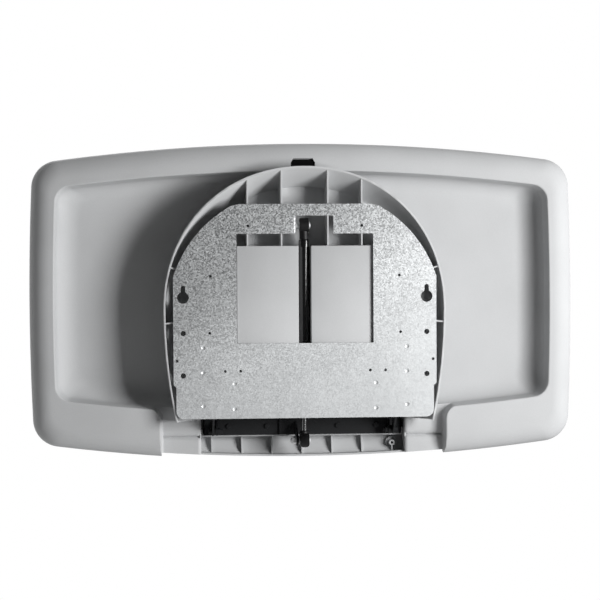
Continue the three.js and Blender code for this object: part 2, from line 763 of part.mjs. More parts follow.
function mountingPlate() {
  const waist = plateHalfWidth - plateWaistStep;
  const shoulderRise = Math.sqrt(plateShoulderRadius ** 2 - (plateHalfWidth - plateShoulderX) ** 2);
  const browRise = plateTop - plateShoulderHeight - plateBrowDrop;
  const browRun = Math.sqrt(plateShoulderRadius ** 2 - browRise ** 2);
  const shoulder = new THREE.Vector2(plateShoulderX, plateShoulderHeight);
  const brow = new THREE.Vector2(plateShoulderX + browRun, plateShoulderHeight + browRise);
  const corner = new THREE.Vector2(waist - plateCornerRadius, plateBottom + plateCornerRadius);
  const browCurve = new THREE.QuadraticBezierCurve(
    brow,
    new THREE.Vector2(brow.x - plateBrowLead, plateTop),
    new THREE.Vector2(brow.x - plateBrowLead - plateBrowRun, plateTop),
  );
  const outline = mirroredOutline([
    new THREE.Vector2(0, plateBottom),
    new THREE.Vector2(corner.x, plateBottom),
    ...arcPoints(corner, plateCornerRadius, -Math.PI / 2, 0, 6),
    new THREE.Vector2(waist, plateWaistHeight - plateWaistStep),
    new THREE.Vector2(plateHalfWidth, plateWaistHeight),
    new THREE.Vector2(plateHalfWidth, plateShoulderHeight + shoulderRise),
    ...arcPoints(shoulder, plateShoulderRadius, Math.asin(shoulderRise / plateShoulderRadius),
      Math.asin(browRise / plateShoulderRadius), 10),
    ...browCurve.getPoints(4).slice(1),
    new THREE.Vector2(0, plateTop),
  ]);
  const shape = new THREE.Shape(outline);
  const opening = new THREE.Path();
  opening.moveTo(-windowHalfWidth, windowBottom);
  opening.lineTo(windowHalfWidth, windowBottom);
  opening.lineTo(windowHalfWidth, windowTop);
  opening.lineTo(springNotchRight, windowTop);
  opening.lineTo(springNotchRight, springNotchTop);
  opening.lineTo(springNotchLeft + springNotchRadius, springNotchTop);
  opening.quadraticCurveTo(springNotchLeft, springNotchTop,
    springNotchLeft, springNotchTop - springNotchRadius);
  opening.lineTo(springNotchLeft, windowTop);
  opening.lineTo(-windowHalfWidth, windowTop);
  opening.closePath();
  shape.holes.push(opening);
  const sheet = plateOf(shape, 0, plateThickness);
  const past = plateThickness + bite;
  const through = (diameter, x, z, sides) => barDepth(diameter / 2, -bite, past, x, z, sides);
  const smallHolePoints = [...chassisScrewPoints, ...spareHolePoints];
  const holes = bothSides((s) => {
    const stud = (s * studPitch) / 2;
    const slot = keyholeSlotWidth / 2;
    const slotTop = keyholeHeight + keyholeRise - slot;
    return [
      through(keyholeDiameter, stud, keyholeHeight, roundSides),
      through(keyholeSlotWidth, stud, slotTop, screwSides),
      box(stud - slot, stud + slot, -bite, past, keyholeHeight, slotTop),
      through(wallBoltDiameter, stud, upperBoltHeight, screwSides),
      through(wallBoltDiameter, stud, 0, screwSides),
      ...smallHolePoints.map(([x, z]) => through(smallHoleDiameter, s * x, z, screwSides)),
      ...weldPoints.map(([x, z]) => barDepth(weldDiameter / 2, -bite, weldDepth, s * x, z, screwSides)),
    ];
  }).flat();
  const tab = box(springNotchRight - plateThickness, springNotchRight + touchGap, 0, springTabDepth,
    windowTop + springTabMargin, springNotchTop - springTabMargin);
  const tabHole = barX(pivotPinRadius + pinClearance, springNotchRight - plateThickness - bite,
    springNotchRight + bite, upperPivotDepth, upperPivotHeight);
  return cut(sheet.add(tab), [...holes, tabHole]);
}

// Spot welds on the two flanges of each hinge bracket.
const weldPoints = [
  [bracketReach - weldEdge, bracketTop - weldEdge],
  [bracketReach - weldEdge, (bracketTop + bracketBottom) / 2 + weldEdge],
  [bracketReach - weldEdge, bracketBottom + weldFoot],
  [bracketInner + weldEdge, bracketStep - weldEdge],
  [bracketInner + weldEdge, bracketBottom + weldEdge],
];

// The chassis outline, set in by an amount, with its open end at the given height.
function chassisOutline(inset, bottom) {
  const half = chassisHalfWidth - inset;
  const rise = chassisRise - inset;
  const drop = chassisCentreHeight - bottom;
  const flank = [0, 1, 2, 3].map((i) => {
    const below = drop * (1 - i / 4);
    return new THREE.Vector2(half - (below * below) / (2 * chassisFlankRadius), chassisCentreHeight - below);
  });
  const arch = [];
  for (let i = 0; i < archSteps; i += 1) {
    const angle = (i * Math.PI) / 2 / archSteps;
    arch.push(new THREE.Vector2(half * Math.cos(angle), chassisCentreHeight + rise * Math.sin(angle)));
  }
  arch.push(new THREE.Vector2(0, chassisCentreHeight + rise));
  return mirroredOutline([new THREE.Vector2(0, bottom), ...flank, ...arch]);
}

// The crowned chassis body with its wall set in by an amount, and a straight mouth where it is hollow.
function chassisBody(inset, rear, bottom, mouth = 0) {
  const levels = quarterTurn.map((angle) => ({
    depth: rear + (chassisFront - inset - rear) * Math.sin(angle),
    outline: chassisOutline(inset + (chassisCrown - inset) * (1 - Math.cos(angle)), bottom),
  }));
  const mouthLevel = { depth: rear - mouth, outline: levels[0].outline };
  return loft(mouth > 0 ? [mouthLevel, ...levels] : levels);
}

function wallChassis() {
  const outer = chassisBody(0, chassisRear, chassisBottom);
  const hollow = chassisBody(shellWall, chassisRear, chassisBottom - cutPast, bite);
  const trim = chassisBody(bite, chassisRear + bite, chassisBottom + bite);
  const face = chassisFront - bite;
  const past = chassisFront + bite;
  const ribs = bothSides((s) => chassisRibPlaces.map((x) => box(s * x - ribWall / 2, s * x + ribWall / 2,
    ribRear, face, pocketTop + touchGap, chassisCentreHeight + chassisRise))).flat();
  const gussets = bothSides((s) => chassisGussetAngles.map((degrees) => {
    const geometry = new THREE.BoxGeometry(chassisGussetLength, face - ribRear, ribWall);
    geometry.translate(chassisHalfWidth - chassisGussetLength / 2 + gussetRoot, -(face + ribRear) / 2, 0);
    geometry.rotateY(-THREE.MathUtils.degToRad(degrees));
    geometry.scale(s, 1, 1);
    geometry.translate(0, 0, chassisCentreHeight);
    return solid(geometry);
  })).flat();
  const screwPlaces = bothSides((s) => chassisScrewPoints.map(([x, z]) => [s * x, z])).flat();
  const bosses = screwPlaces.map(([x, z]) => barDepth(screwBossRadius, chassisRear, face, x, z));
  const inner = joined([...ribs, ...gussets]).intersect(trim);
  const whole = joined([outer.subtract(hollow), inner, ...bosses]);
  const mouths = bothSides((s) => box(s * (springChannelHalfWidth - touchGap), s * (pocketOuter + touchGap),
    chassisFront - 2 * shellWall, past, pocketBottom - touchGap, pocketTop + touchGap));
  const screwBores = screwPlaces.flatMap(([x, z]) => [
    barDepth(screwRadius + pinClearance, chassisRear - bite, screwSeat + bite, x, z, screwSides),
    barDepth(screwHeadRadius + pinClearance, screwSeat, past, x, z, screwSides),
  ]);
  const roomHalfWidth = bayHalfWidth + shellWall;
  const hingeRoom = box(-roomHalfWidth, roomHalfWidth, chassisRear - bite, past, chassisBottom - cutPast,
    hingeRoomTop);
  return cut(whole, [...mouths, ...screwBores, hingeRoom]);
}

// A liner pocket: a cup with a flange, let into the front of the chassis.
function linerPocket(s) {
  const inner = springChannelHalfWidth;
  const rear = chassisFront + touchGap;
  const front = rear + bezelThickness;
  const cup = box(s * inner, s * pocketOuter, pocketBack, rear + bite, pocketBottom, pocketTop);
  const flange = box(s * (inner - bite), s * (pocketOuter + bezelBorder), rear, front,
    pocketBottom - bezelBorder, pocketTop + bezelBorder);
  const room = box(s * (inner + ribWall), s * (pocketOuter - ribWall), pocketBack + ribWall, front + bite,
    pocketBottom + ribWall, pocketTop - ribWall);
  return cup.add(flange).subtract(room);
}

// A turned pin along X: radii held from one x to the next, listed from the threaded end.
function turnedPin(steps, depth, z) {
  return joined(steps.map(([radius, x0, x1]) => barX(radius, x0, x1, depth, z)));
}

const clipRadius = pivotPinRadius - clipGroove;
const clipStart = -fittingHalfWidth - runGap;
const clipEnd = clipStart - clipThickness - clipPlay;

// A pivot stud: thread, collar, journal and a groove for its clip. It stands on a lug that starts at lugX.
function pivotStud(lugX, lugThickness, nutHeight, depth, z) {
  const collarStart = fittingHalfWidth + runGap;
  const threadEnd = lugX + lugThickness + touchGap + nutHeight + threadProud;
  return turnedPin([
    [pivotPinRadius, lugX - bite, threadEnd],
    [collarRatio * pivotPinRadius, collarStart, lugX - touchGap],
    [pivotPinRadius, clipStart, collarStart + seamBite],
    [clipRadius, clipEnd, clipStart + seamBite],
    [pivotPinRadius, clipEnd - clipThickness, clipEnd + seamBite],
  ], depth, z);
}

function pivotNut(lugX, lugThickness, nutHeight, depth, z) {
  const start = lugX + lugThickness + touchGap;
  const body = barX(nutRatio * pivotPinRadius, start, start + nutHeight, depth, z, 6);
  const bore = barX(pivotPinRadius + pinClearance, start - bite, start + nutHeight + bite, depth, z);
  return body.subtract(bore);
}

// An open retaining ring in the stud's groove.
function pivotClip(depth, z) {
  const ring = new THREE.Shape();
  const inner = clipRadius + clipClearance;
  const outer = collarRatio * pivotPinRadius;
  const turn = 2 * Math.PI;
  const centre = new THREE.Vector2(depth, z);
  const start = (radius) => centre.clone().add(
    new THREE.Vector2(radius * Math.cos(clipMouth), radius * Math.sin(clipMouth)));
  ring.setFromPoints([
    start(outer),
    ...arcPoints(centre, outer, clipMouth, turn - clipMouth, 10),
    ...arcPoints(centre, inner, turn - clipMouth, clipMouth, 10).slice(0, -1),
    start(inner),
  ]);
  const near = clipStart - clipPlay / 2;
  return sectionOf(ring, near, near - clipThickness);
}

const leverLugX = fittingHalfWidth + runGap + leverGap + touchGap;
const tabLugX = springNotchRight - plateThickness;

function springLever() {
  const eye = new THREE.Vector2(lowerPivotDepth, lowerPivotHeight);
  const rear = webDepth - touchGap;
  const top = channelTop - channelThickness - bite;
  const bottom = shelfTop + bite;
  const lug = sectionOf(
    armShape(eye, leverRadius, [new THREE.Vector2(rear, top), new THREE.Vector2(rear, bottom)]),
    leverLugX,
    leverLugX + leverThickness,
  );
  const foot = box(leverLugX, leverLugX + leverFoot, rear - leverThickness, rear, bottom, top);
  const bore = barX(pivotPinRadius + pinClearance, leverLugX - bite, leverLugX + leverThickness + bite,
    lowerPivotDepth, lowerPivotHeight);
  return lug.add(foot).subtract(bore);
}

// The gas spring is drawn hanging straight down from its upper pivot, then turned into place.
const tubeTop = -fittingNeck;
const tubeBottom = tubeTop - tubeLength;
const boreRadius = tubeRadius - tubeWall;
const springPin = (radius, z0, z1) => {
  const geometry = new THREE.CylinderGeometry(radius, radius, z1 - z0, roundSides);
  geometry.rotateX(Math.PI / 2);
  geometry.translate(0, 0, (z0 + z1) / 2);
  return solid(geometry);
};

function springTube() {
  const body = springPin(tubeRadius, tubeBottom, tubeTop - touchGap);
  return body.subtract(springPin(boreRadius, tubeBottom - bite, tubeTop - tubeHead));
}

function tubeEndFitting() {
  const eye = barX(fittingRadius, -fittingHalfWidth, fittingHalfWidth, 0, 0);
  const neck = springPin(fittingHalfWidth, tubeTop, 0);
  const bore = barX(pivotPinRadius + pinClearance, -fittingHalfWidth - bite, fittingHalfWidth + bite, 0, 0);
  return eye.add(neck).subtract(bore);
}

function rodGuide() {
  const plug = springPin(boreRadius - touchGap, tubeBottom, tubeBottom + rodGuideLength);
  const collar = springPin(tubeRadius, tubeBottom - rodGuideCollar, tubeBottom - touchGap);
  const bridge = springPin(boreRadius - touchGap, tubeBottom - bite, tubeBottom + bite);
  const bore = springPin(rodRadius + pinClearance, tubeBottom - rodGuideCollar - bite,
    tubeBottom + rodGuideLength + bite);
  return joined([plug, collar, bridge]).subtract(bore);
}

const pistonBottom = tubeBottom + rodGuideLength + pistonGap;
const rodTop = pistonBottom + pistonLength + pistonNeckProud;
const rodShoulder = rodTop - pistonNeck;
const rodBottom = -springLength + fittingRadius + rodSeat;

function springRod() {
  const shank = springPin(rodRadius, rodBottom + touchGap, rodShoulder);
  return shank.add(springPin(rodRadius - pistonNeckStep, rodShoulder - bite, rodTop));
}

function piston() {
  const bottom = rodShoulder + touchGap;
  const top = bottom + pistonLength;
  const neckHole = rodRadius - pistonNeckStep + pinClearance;
  return springPin(boreRadius - runGap, bottom, top).subtract(springPin(neckHole, bottom - bite, top + bite));
}

// The rod's eye is a slot: the lower pivot of the closed linkage needs that much play.
function rodEndFitting() {
  const reach = new THREE.Vector2(lowerEyeLateralPlay, lowerEyeAxialPlay);
  const hull = (radius) => {
    const along = reach.angle();
    const near = new THREE.Vector2(0, -springLength);
    const far = near.clone().add(new THREE.Vector2(-reach.x, reach.y));
    const side = Math.PI - along;
    return new THREE.Shape([
      ...arcPoints(far, radius, side - Math.PI / 2, side + Math.PI / 2, 10),
      ...arcPoints(near, radius, side + Math.PI / 2, side + 1.5 * Math.PI, 10),
      far.clone().add(new THREE.Vector2(radius, 0).rotateAround(new THREE.Vector2(), side - Math.PI / 2)),
    ]);
  };
  const eye = sectionOf(hull(fittingRadius), -fittingHalfWidth, fittingHalfWidth);
  const neck = springPin(fittingHalfWidth, -springLength + 2 * bite, rodBottom);
  const past = fittingHalfWidth + bite;
  const slot = sectionOf(hull(pivotPinRadius + lowerEyeClearance), -past, past);
  return eye.add(neck).subtract(slot);
}

// Safety strap: two lengths of webbing, a side-release buckle and two screwed anchors.
const strapScrewX = (strapHalfWidth + anchorHalfWidth) / 2;
const anchorHeights = { upper: strapTop - anchorHalfHeight, lower: strapBottom + anchorHalfHeight };
const strapScrewPlaces = Object.values(anchorHeights).flatMap((z) => [[-strapScrewX, z], [strapScrewX, z]]);
const anchorRear = strapRear - touchGap - anchorThickness;
const buckleRear = recessFloor - touchGap - buckleThickness;
const buckleTop = buckleHeight + buckleHalfLength;
const buckleBottom = buckleHeight - buckleHalfLength;

const strapUpper = () => box(-strapHalfWidth, strapHalfWidth, strapRear, strapRear + strapThickness,
  buckleTop + touchGap, strapTop);
const strapLower = () => box(-strapHalfWidth, strapHalfWidth, strapRear, strapRear + strapThickness,
  strapBottom, buckleBottom - touchGap);

function strapAnchor(z) {
  const plate = box(-anchorHalfWidth, anchorHalfWidth, anchorRear, strapRear - touchGap,
    z - anchorHalfHeight, z + anchorHalfHeight);
  const feet = bothSides((s) => box(s * (strapHalfWidth + runGap), s * anchorHalfWidth, anchorRear,
    recessFloor - touchGap, z - anchorHalfHeight, z + anchorHalfHeight));
  const holes = bothSides((s) => barDepth(screwRadius + pinClearance, anchorRear - bite, recessFloor,
    s * strapScrewX, z, screwSides));
  return cut(joined([plate, ...feet]), holes);
}

const tongueSplit = buckleHeight - tongueArm;
const barbBottom = tongueSplit + barbRise;
const barbTop = buckleTop - barbDrop;

function buckleSocket() {
  const front = buckleRear + buckleThickness;
  const body = box(-buckleHalfWidth, buckleHalfWidth, buckleRear, front, tongueSplit, buckleTop);
  const w = buckleHalfWidth - buckleWall;
  const past = buckleHalfWidth + bite;
  const cavity = box(-w, w, buckleRear + buckleWall, front - buckleWall, tongueSplit - bite,
    buckleTop - socketEnd);
  const windows = box(-past, past, buckleRear + buckleWall, front - buckleWall, barbBottom - bite,
    barbTop + bite);
  return cut(body, [cavity, windows]);
}

function buckleTongue() {
  const w = buckleHalfWidth - buckleWall - runGap;
  const rear = buckleRear + buckleWall + runGap;
  const front = buckleRear + buckleThickness - buckleWall - runGap;
  const root = tongueSplit - bite;
  const tip = buckleTop - socketEnd - 2 * bite;
  const base = box(-buckleHalfWidth, buckleHalfWidth, buckleRear, buckleRear + buckleThickness,
    buckleBottom, tongueSplit - touchGap);
  const arms = bothSides((s) => box(s * (w - tongueArm), s * w, rear, front, root, tip));
  const barbs = bothSides((s) => box(s * (w - tongueArm), s * buckleHalfWidth, rear, front,
    barbBottom, barbTop));
  const guide = box(-tongueArm / 2, tongueArm / 2, rear, front, root, tip);
  return joined([base, ...arms, ...barbs, guide]);
}

// The assembly
const station = new THREE.Group();
const wallUnit = new THREE.Group();
const bed = new THREE.Group();
const gasSpring = new THREE.Group();
gasSpring.position.set(0, -upperPivotDepth, upperPivotHeight);
gasSpring.rotation.x = -springTilt;
station.add(wallUnit, bed, gasSpring);

function place(group, name, body, material) {
  const mesh = new THREE.Mesh(geometryOf(body), material);
  mesh.name = name;
  group.add(mesh);
}

const sideName = (s) => (s > 0 ? 'right' : 'left');

place(wallUnit, 'mounting_plate', mountingPlate(), galvanised);
place(wallUnit, 'wall_chassis', wallChassis(), greyPlastic);
bothSides((s) => {
  place(wallUnit, `hinge_bracket_${sideName(s)}`, hingeBracket(s), blackSteel);
  place(wallUnit, `hinge_bush_${sideName(s)}`, hingeBush(s), blackPlastic);
  place(wallUnit, `liner_pocket_${sideName(s)}`, linerPocket(s), greyPlastic);
  place(bed, `hinge_pin_${sideName(s)}`, hingePin(s), blackSteel);
  place(bed, `hinge_nut_${sideName(s)}`, hingeNut(s), blackSteel);
});
bothSides((s) => chassisScrewPoints.map(([x, z]) => [s * x, z])).flat().forEach(([x, z], i) => {
  const tip = plateThickness - screwTipSink;
  place(wallUnit, `chassis_screw_${i + 1}`, screw(x, z, screwSeat + touchGap, tip), blackSteel);
});
place(wallUnit, 'upper_pivot_stud',
  pivotStud(tabLugX, plateThickness, upperNutHeight, upperPivotDepth, upperPivotHeight), brightSteel);
place(wallUnit, 'upper_pivot_nut',
  pivotNut(tabLugX, plateThickness, upperNutHeight, upperPivotDepth, upperPivotHeight), brightSteel);
place(wallUnit, 'upper_pivot_clip', pivotClip(upperPivotDepth, upperPivotHeight), brightSteel);

place(bed, 'bed_tray', bedTray(), greyPlastic);
place(bed, 'bed_cover', bedCover(), greyPlastic);
place(bed, 'rim_bumper', rimBumper(), blackRubber);
place(bed, 'hinge_channel', hingeChannel(), blackSteel);
channelScrewPlaces.forEach((x, i) => {
  const body = screw(x, channelScrewHeight, webDepth - touchGap, channelScrewTip);
  place(bed, `channel_screw_${i + 1}`, body, blackSteel);
});
place(bed, 'spring_lever', springLever(), blackSteel);
place(bed, 'lower_pivot_stud',
  pivotStud(leverLugX, leverThickness, lowerNutHeight, lowerPivotDepth, lowerPivotHeight), brightSteel);
place(bed, 'lower_pivot_nut',
  pivotNut(leverLugX, leverThickness, lowerNutHeight, lowerPivotDepth, lowerPivotHeight), brightSteel);
place(bed, 'lower_pivot_clip', pivotClip(lowerPivotDepth, lowerPivotHeight), brightSteel);
place(bed, 'strap_upper', strapUpper(), webbing);
place(bed, 'strap_lower', strapLower(), webbing);
place(bed, 'strap_anchor_upper', strapAnchor(anchorHeights.upper), blackPlastic);
place(bed, 'strap_anchor_lower', strapAnchor(anchorHeights.lower), blackPlastic);
strapScrewPlaces.forEach(([x, z], i) => {
  const body = screw(x, z, anchorRear - touchGap, floorBack + strapScrewProud);
  place(bed, `strap_screw_${i + 1}`, body, brightSteel);
});
place(bed, 'buckle_socket', buckleSocket(), blackPlastic);
place(bed, 'buckle_tongue', buckleTongue(), blackPlastic);

place(gasSpring, 'spring_tube', springTube(), blackSteel);
place(gasSpring, 'tube_end_fitting', tubeEndFitting(), blackPlastic);
place(gasSpring, 'rod_guide', rodGuide(), blackSteel);
place(gasSpring, 'spring_rod', springRod(), brightSteel);
place(gasSpring, 'piston', piston(), blackPlastic);
place(gasSpring, 'rod_end_fitting', rodEndFitting(), blackPlastic);

export default station;
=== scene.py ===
"""Baby changing station, folded up for hanging on a wall and seen from the wall side.

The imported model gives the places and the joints. This file adds the smooth mouldings, the softened
steelwork, the strap and every finish. Shapes are worked out in millimetres as (x, depth, z), where
depth is the distance from the wall towards the room, and stored in metres with y = -depth.
"""

import math

import bmesh
import bpy
import numpy as np
from bpy.props import FloatProperty, FloatVectorProperty, PointerProperty
from mathutils import Matrix, Vector


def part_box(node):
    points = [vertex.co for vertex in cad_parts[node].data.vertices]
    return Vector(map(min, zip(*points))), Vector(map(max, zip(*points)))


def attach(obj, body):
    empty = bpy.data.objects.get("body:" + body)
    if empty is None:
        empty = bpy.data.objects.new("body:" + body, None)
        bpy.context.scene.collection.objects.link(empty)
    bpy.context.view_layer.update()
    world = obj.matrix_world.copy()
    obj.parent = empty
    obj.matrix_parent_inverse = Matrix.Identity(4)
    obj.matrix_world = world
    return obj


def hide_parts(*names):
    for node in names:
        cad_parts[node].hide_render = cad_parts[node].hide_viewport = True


bl_info = {
    "name": "Baby changing station",
    "version": (1, 0, 0),
    "blender": (4, 5, 0),
    "location": "View3D > Sidebar > Station",
    "description": "Mouldings, steelwork, strap and finishes of a wall-hung baby changing station",
    "category": "Object",
}

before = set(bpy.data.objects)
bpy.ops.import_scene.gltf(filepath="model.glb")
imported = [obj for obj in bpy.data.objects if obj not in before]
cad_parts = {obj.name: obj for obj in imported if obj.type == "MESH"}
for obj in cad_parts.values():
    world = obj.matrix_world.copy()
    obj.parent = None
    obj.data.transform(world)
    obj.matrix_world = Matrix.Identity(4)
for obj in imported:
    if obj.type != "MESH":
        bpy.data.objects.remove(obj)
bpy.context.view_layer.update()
MM = 0.001

# The bed's outline, in millimetres
BED_HALF_WIDTH, BED_HALF_HEIGHT, BED_MID = 457.0, 266.0, 119.4
BED_TOP, BED_BOTTOM = BED_MID + BED_HALF_HEIGHT, BED_MID - BED_HALF_HEIGHT
TOP_BOW, SIDE_BOW, BED_CORNER = 33.4, 8.2, 46.0
TOP_BOW_RADIUS = (BED_HALF_WIDTH**2 + TOP_BOW**2) / (2 * TOP_BOW)
SIDE_BOW_RADIUS = (BED_HALF_HEIGHT**2 + SIDE_BOW**2) / (2 * SIDE_BOW)

# The tray: crowned rim, sunk floor, notched hinge side
PARTING, RIM_DEPTH, RIM_CROWN = 58.0, 32.0, 32.0
RECESS_SIDE, RECESS_TOP, RECESS_BOTTOM, RECESS_CORNER = 41.0, 46.0, 79.0, 28.0
CORNER_LOSS = (BED_CORNER - RECESS_CORNER) / RECESS_SIDE
RECESS_FLOOR, RECESS_WALL_END, RECESS_DRAFT, RIM_TURN = 77.0, 52.0, 3.5, 80.0
FLOOR_SIDE_RUN, FLOOR_TOP_RUN, FLOOR_BOTTOM_RUN = 42.0, 30.0, 38.0
NOTCH_HALF_WIDTH, NOTCH_RADIUS, NOTCH_DRAFT, NOTCH_START, NOTCH_PAST = 241.0, 20.0, 6.0, 0.3, 8.0
NOTCH_BLEND, CREASE_BLEND, BAY_BLEND, FAR_OUTSIDE = 3.0, 10.0, 12.0, -50.0
BAY_HALF_WIDTH, BAY_TOP, BAY_FLOOR, BAY_WALL_END = 172.0, -70.0, 57.0, 92.0
BAY_OVERLAP, BAY_ROOF_INSET = 1.5, 0.4
SHOULDER_TOP, LIP_CREASE, SHOULDER_BULGE, CREASE_GROOVE = -50.0, -106.0, 4.0, 3.0
BUMPER_HALF_WIDTH, BUMPER_TOP, BUMPER_FLOOR, BUMPER_CORNER = 20.0, 358.5, 44.0, 4.0
BUMPER_EDGE = 2.4

# The cover, the ribs in its hinge bay and its props under the tray's floor
BED_FRONT, COVER_EDGE, COVER_CROWN = 102.0, 58.3, 60.0
LIP_RELIEF, RELIEF_HALF_WIDTH = 6.0, 238.5
SHELF_TOP, SHELF_REAR, SHELF_HALF_WIDTH, SHELF_UPSTAND = -105.0, 72.0, 170.8, 10.0
RIB_START, RIB_SLANT, RIB_PITCH = 74.0, 11.0, 51.0
PILLAR_X, PILLAR_Z, PILLAR_STEP, PILLAR_RADIUS = -153.0, -121.0, 12.0, 9.6
PILLAR_BORE, PILLAR_LENGTH, PILLAR_WEB_DROP = 2.2, 20.0, 3.5
CHANNEL_SCREWS, BOSS_Z, BOSS_REAR, BOSS_RADIUS = (-125.0, -60.0, 60.0, 125.0), -90.0, 68.8, 6.0
PILOT_RADIUS, PILOT_END = 2.3, 82.0
FLOOR_PROPS, PROP_REAR, PROP_SPAN = (-250.0, -110.0, 110.0, 250.0), 80.3, (-12.0, 309.4)
ROOTED, BED_GAP = 0.6, 0.6

# The wall chassis
CHASSIS_REAR, CHASSIS_FRONT = 2.8, 50.0
FLANK_CROWN, ARCH_FLARE, FLARE_POWER, FRONT_REACH = 40.0, 34.0, 2.2, 150.0
CHASSIS_HALF, CHASSIS_RISE, CHASSIS_MID, CHASSIS_BOTTOM = 235.5, 238.5, 108.5, -78.0
FLANK_RADIUS, ARCH_POWER = 862.0, 2.09
POCKET_INNER, POCKET_OUTER, POCKET_BOTTOM, POCKET_TOP, POCKET_EDGE = 10.2, 113.8, 19.7, 214.6, 0.8
HINGE_ROOM_HALF_WIDTH, HINGE_ROOM_TOP, HINGE_ROOM_DEPTHS, HINGE_ROOM_PAST = 175.0, -62.0, (-5, 60), 10
CHASSIS_RIBS, GUSSET_ANGLES, GUSSET_START = (38.7, 95.4), (17.6, -5.4), 193.5
RIB_SINK = 0.03
CHASSIS_SCREWS = ((95.0, 247.7), (157.5, 164.7), (159.2, 70.3))

# Loops of (radius, depth): a screw's hole in the chassis's front, and the boss behind it
FRONT_CUT = (40, 60)
SCREW_HOLE = ((0, 40), (4.5, 40), (4.5, 60), (0, 60))
SCREW_BOSS = ((2.3, 2.8), (6.4, 2.8), (7.0, 3.4), (7.0, 47.5), (4.5, 47.5), (4.5, 12), (2.3, 12))

# The mounting plate: its spot welds, and the tab bent out of it for the gas spring
WELDS = ((170.0, 46.0), (170.0, 5.0), (170.0, -50.5), (118.0, -14.0), (118.0, -56.0))
WELD_BALL, WELD_DEPTH, WELD_CAP = 6.5, 1.1, 44.0
TAB_X, TAB_SPAN = 14.5, (235.9, 263.1)

# The gas spring. Its loops are (radius, distance along it from its upper pivot)
SPRING_TOP = np.array([0.0, 19.0, 248.5])
SPRING_FOOT = np.array([0.0, 35.0, -112.0])
SPRING_WAY = (SPRING_FOOT - SPRING_TOP) / np.linalg.norm(SPRING_FOOT - SPRING_TOP)
TUBE_LOOP = ((0, 23.8), (7.4, 23.8), (8.5, 24.3), (9, 25.6), (9, 261.6), (8.7, 262.9), (7.9, 263.5),
             (7.5, 263.5), (7.5, 31.8), (0, 31.8))
ROD_LOOP = ((0, 236.5), (3.0, 236.5), (3.0, 240.5), (4, 240.5), (4, 344.1), (3.6, 344.5), (0, 344.5))
EYE_ROUND, EYE_RING, EYE_DEPTH = 6.0, 1.6, 90

# The strap on the tray floor
STRAP_HALF_WIDTH, STRAP_REAR, STRAP_THICKNESS, STRAP_WAVE, STRAP_ROUND = 19.0, 75.1, 1.4, 0.35, 0.5
STRAP_SPANS = {"strap_upper": (184.3, 298.0), "strap_lower": (-4.0, 115.7)}

# The camera that fits the photograph: yaw, pitch, roll in degrees, distance and aim in millimetres
VIEW_YAW, VIEW_PITCH, VIEW_ROLL = 4.941, -1.689, -0.305
VIEW_DISTANCE, VIEW_ASIDE, VIEW_RAISED, VIEW_AIM_HEIGHT = 4200.0, 8.81, 5.19, 129.5
VIEW_FOCAL_PIXELS, VIEW_FRAME_PIXELS, SENSOR_MM = 2528.0, 600.0, 36.0

# The lamps: place, aim and size in metres
KEY_LAMP = (-1.2, 1.08, 0.2), (0.35, -0.04, 0.11), (0.6, 0.8)
ROOM_LAMP = (0.6, -2.2, 1.3), (0, -0.04, 0.11), (1.2, 1.2)
LAMP_SPREAD, FLOOR_REACH = 110.0, 2.5

# Sharp edges of a smooth piece, in degrees: ribs and steelwork, broad mouldings, sheet steel, nylon eye
CREASE, BROAD_CREASE, SHEET_CREASE, EYE_CREASE, STRAP_CREASE = 38.0, 50.0, 8.0, 30.0, 60.0


def linear(hex_colour):
    """Linear RGBA of an sRGB hex value such as 'c8c9ca'."""
    srgb = np.array([int(hex_colour[i:i + 2], 16) for i in (0, 2, 4)]) / 255.0
    rgb = np.where(srgb <= 0.04045, srgb / 12.92, ((srgb + 0.055) / 1.055) ** 2.4)
    return (*rgb.tolist(), 1.0)


def length_setting(name, description, size, least=0.0):
    """A length that is stored in metres and given here in millimetres."""
    return FloatProperty(
        name=name, description=description, default=size * MM, min=least * MM, unit="LENGTH")


def colour_setting(name, description, hex_colour):
    """A colour, given here as an sRGB hex value."""
    return FloatVectorProperty(
        name=name, description=description, subtype="COLOR", size=4, min=0, max=1,
        default=linear(hex_colour))


class MouldingSettings(bpy.types.PropertyGroup):
    """Sizes of the grey mouldings that a maker would change."""

    wall: length_setting("Wall", "Thickness of the tray, the cover and the chassis", 3.0, 1.0)
    rib: length_setting("Rib", "Thickness of ribs and inner walls", 2.4)
    rim_edge: length_setting("Rim edge", "Radius where the rim turns down into the changing surface", 2.5)
    soft_edge: length_setting("Soft edge", "Radius on the edges of ribs", 0.4)


class SteelSettings(bpy.types.PropertyGroup):
    """Edge sizes of the steel and of the small black parts."""

    bend: length_setting("Bend", "Outer radius of the tab bent out of the plate", 4.4)
    sheet_edge: length_setting("Sheet edge", "Edge radius of cut and bent sheet", 0.35)
    small_edge: length_setting("Small edge", "Edge radius of screws, nuts and pins", 0.3)
    nylon_edge: length_setting("Nylon edge", "Edge radius of nylon fittings", 0.8)


class FinishSettings(bpy.types.PropertyGroup):
    """Colours of the finishes."""

    grey: colour_setting("Grey plastic", "Colour of the mouldings", "b9babb")
    zinc: colour_setting("Galvanised sheet", "Colour of the mounting plate", "bdbfc0")
    black: colour_setting("Black steel", "Colour of the powder coat", "17181a")
    webbing: colour_setting("Webbing", "Colour of the strap", "25272b")


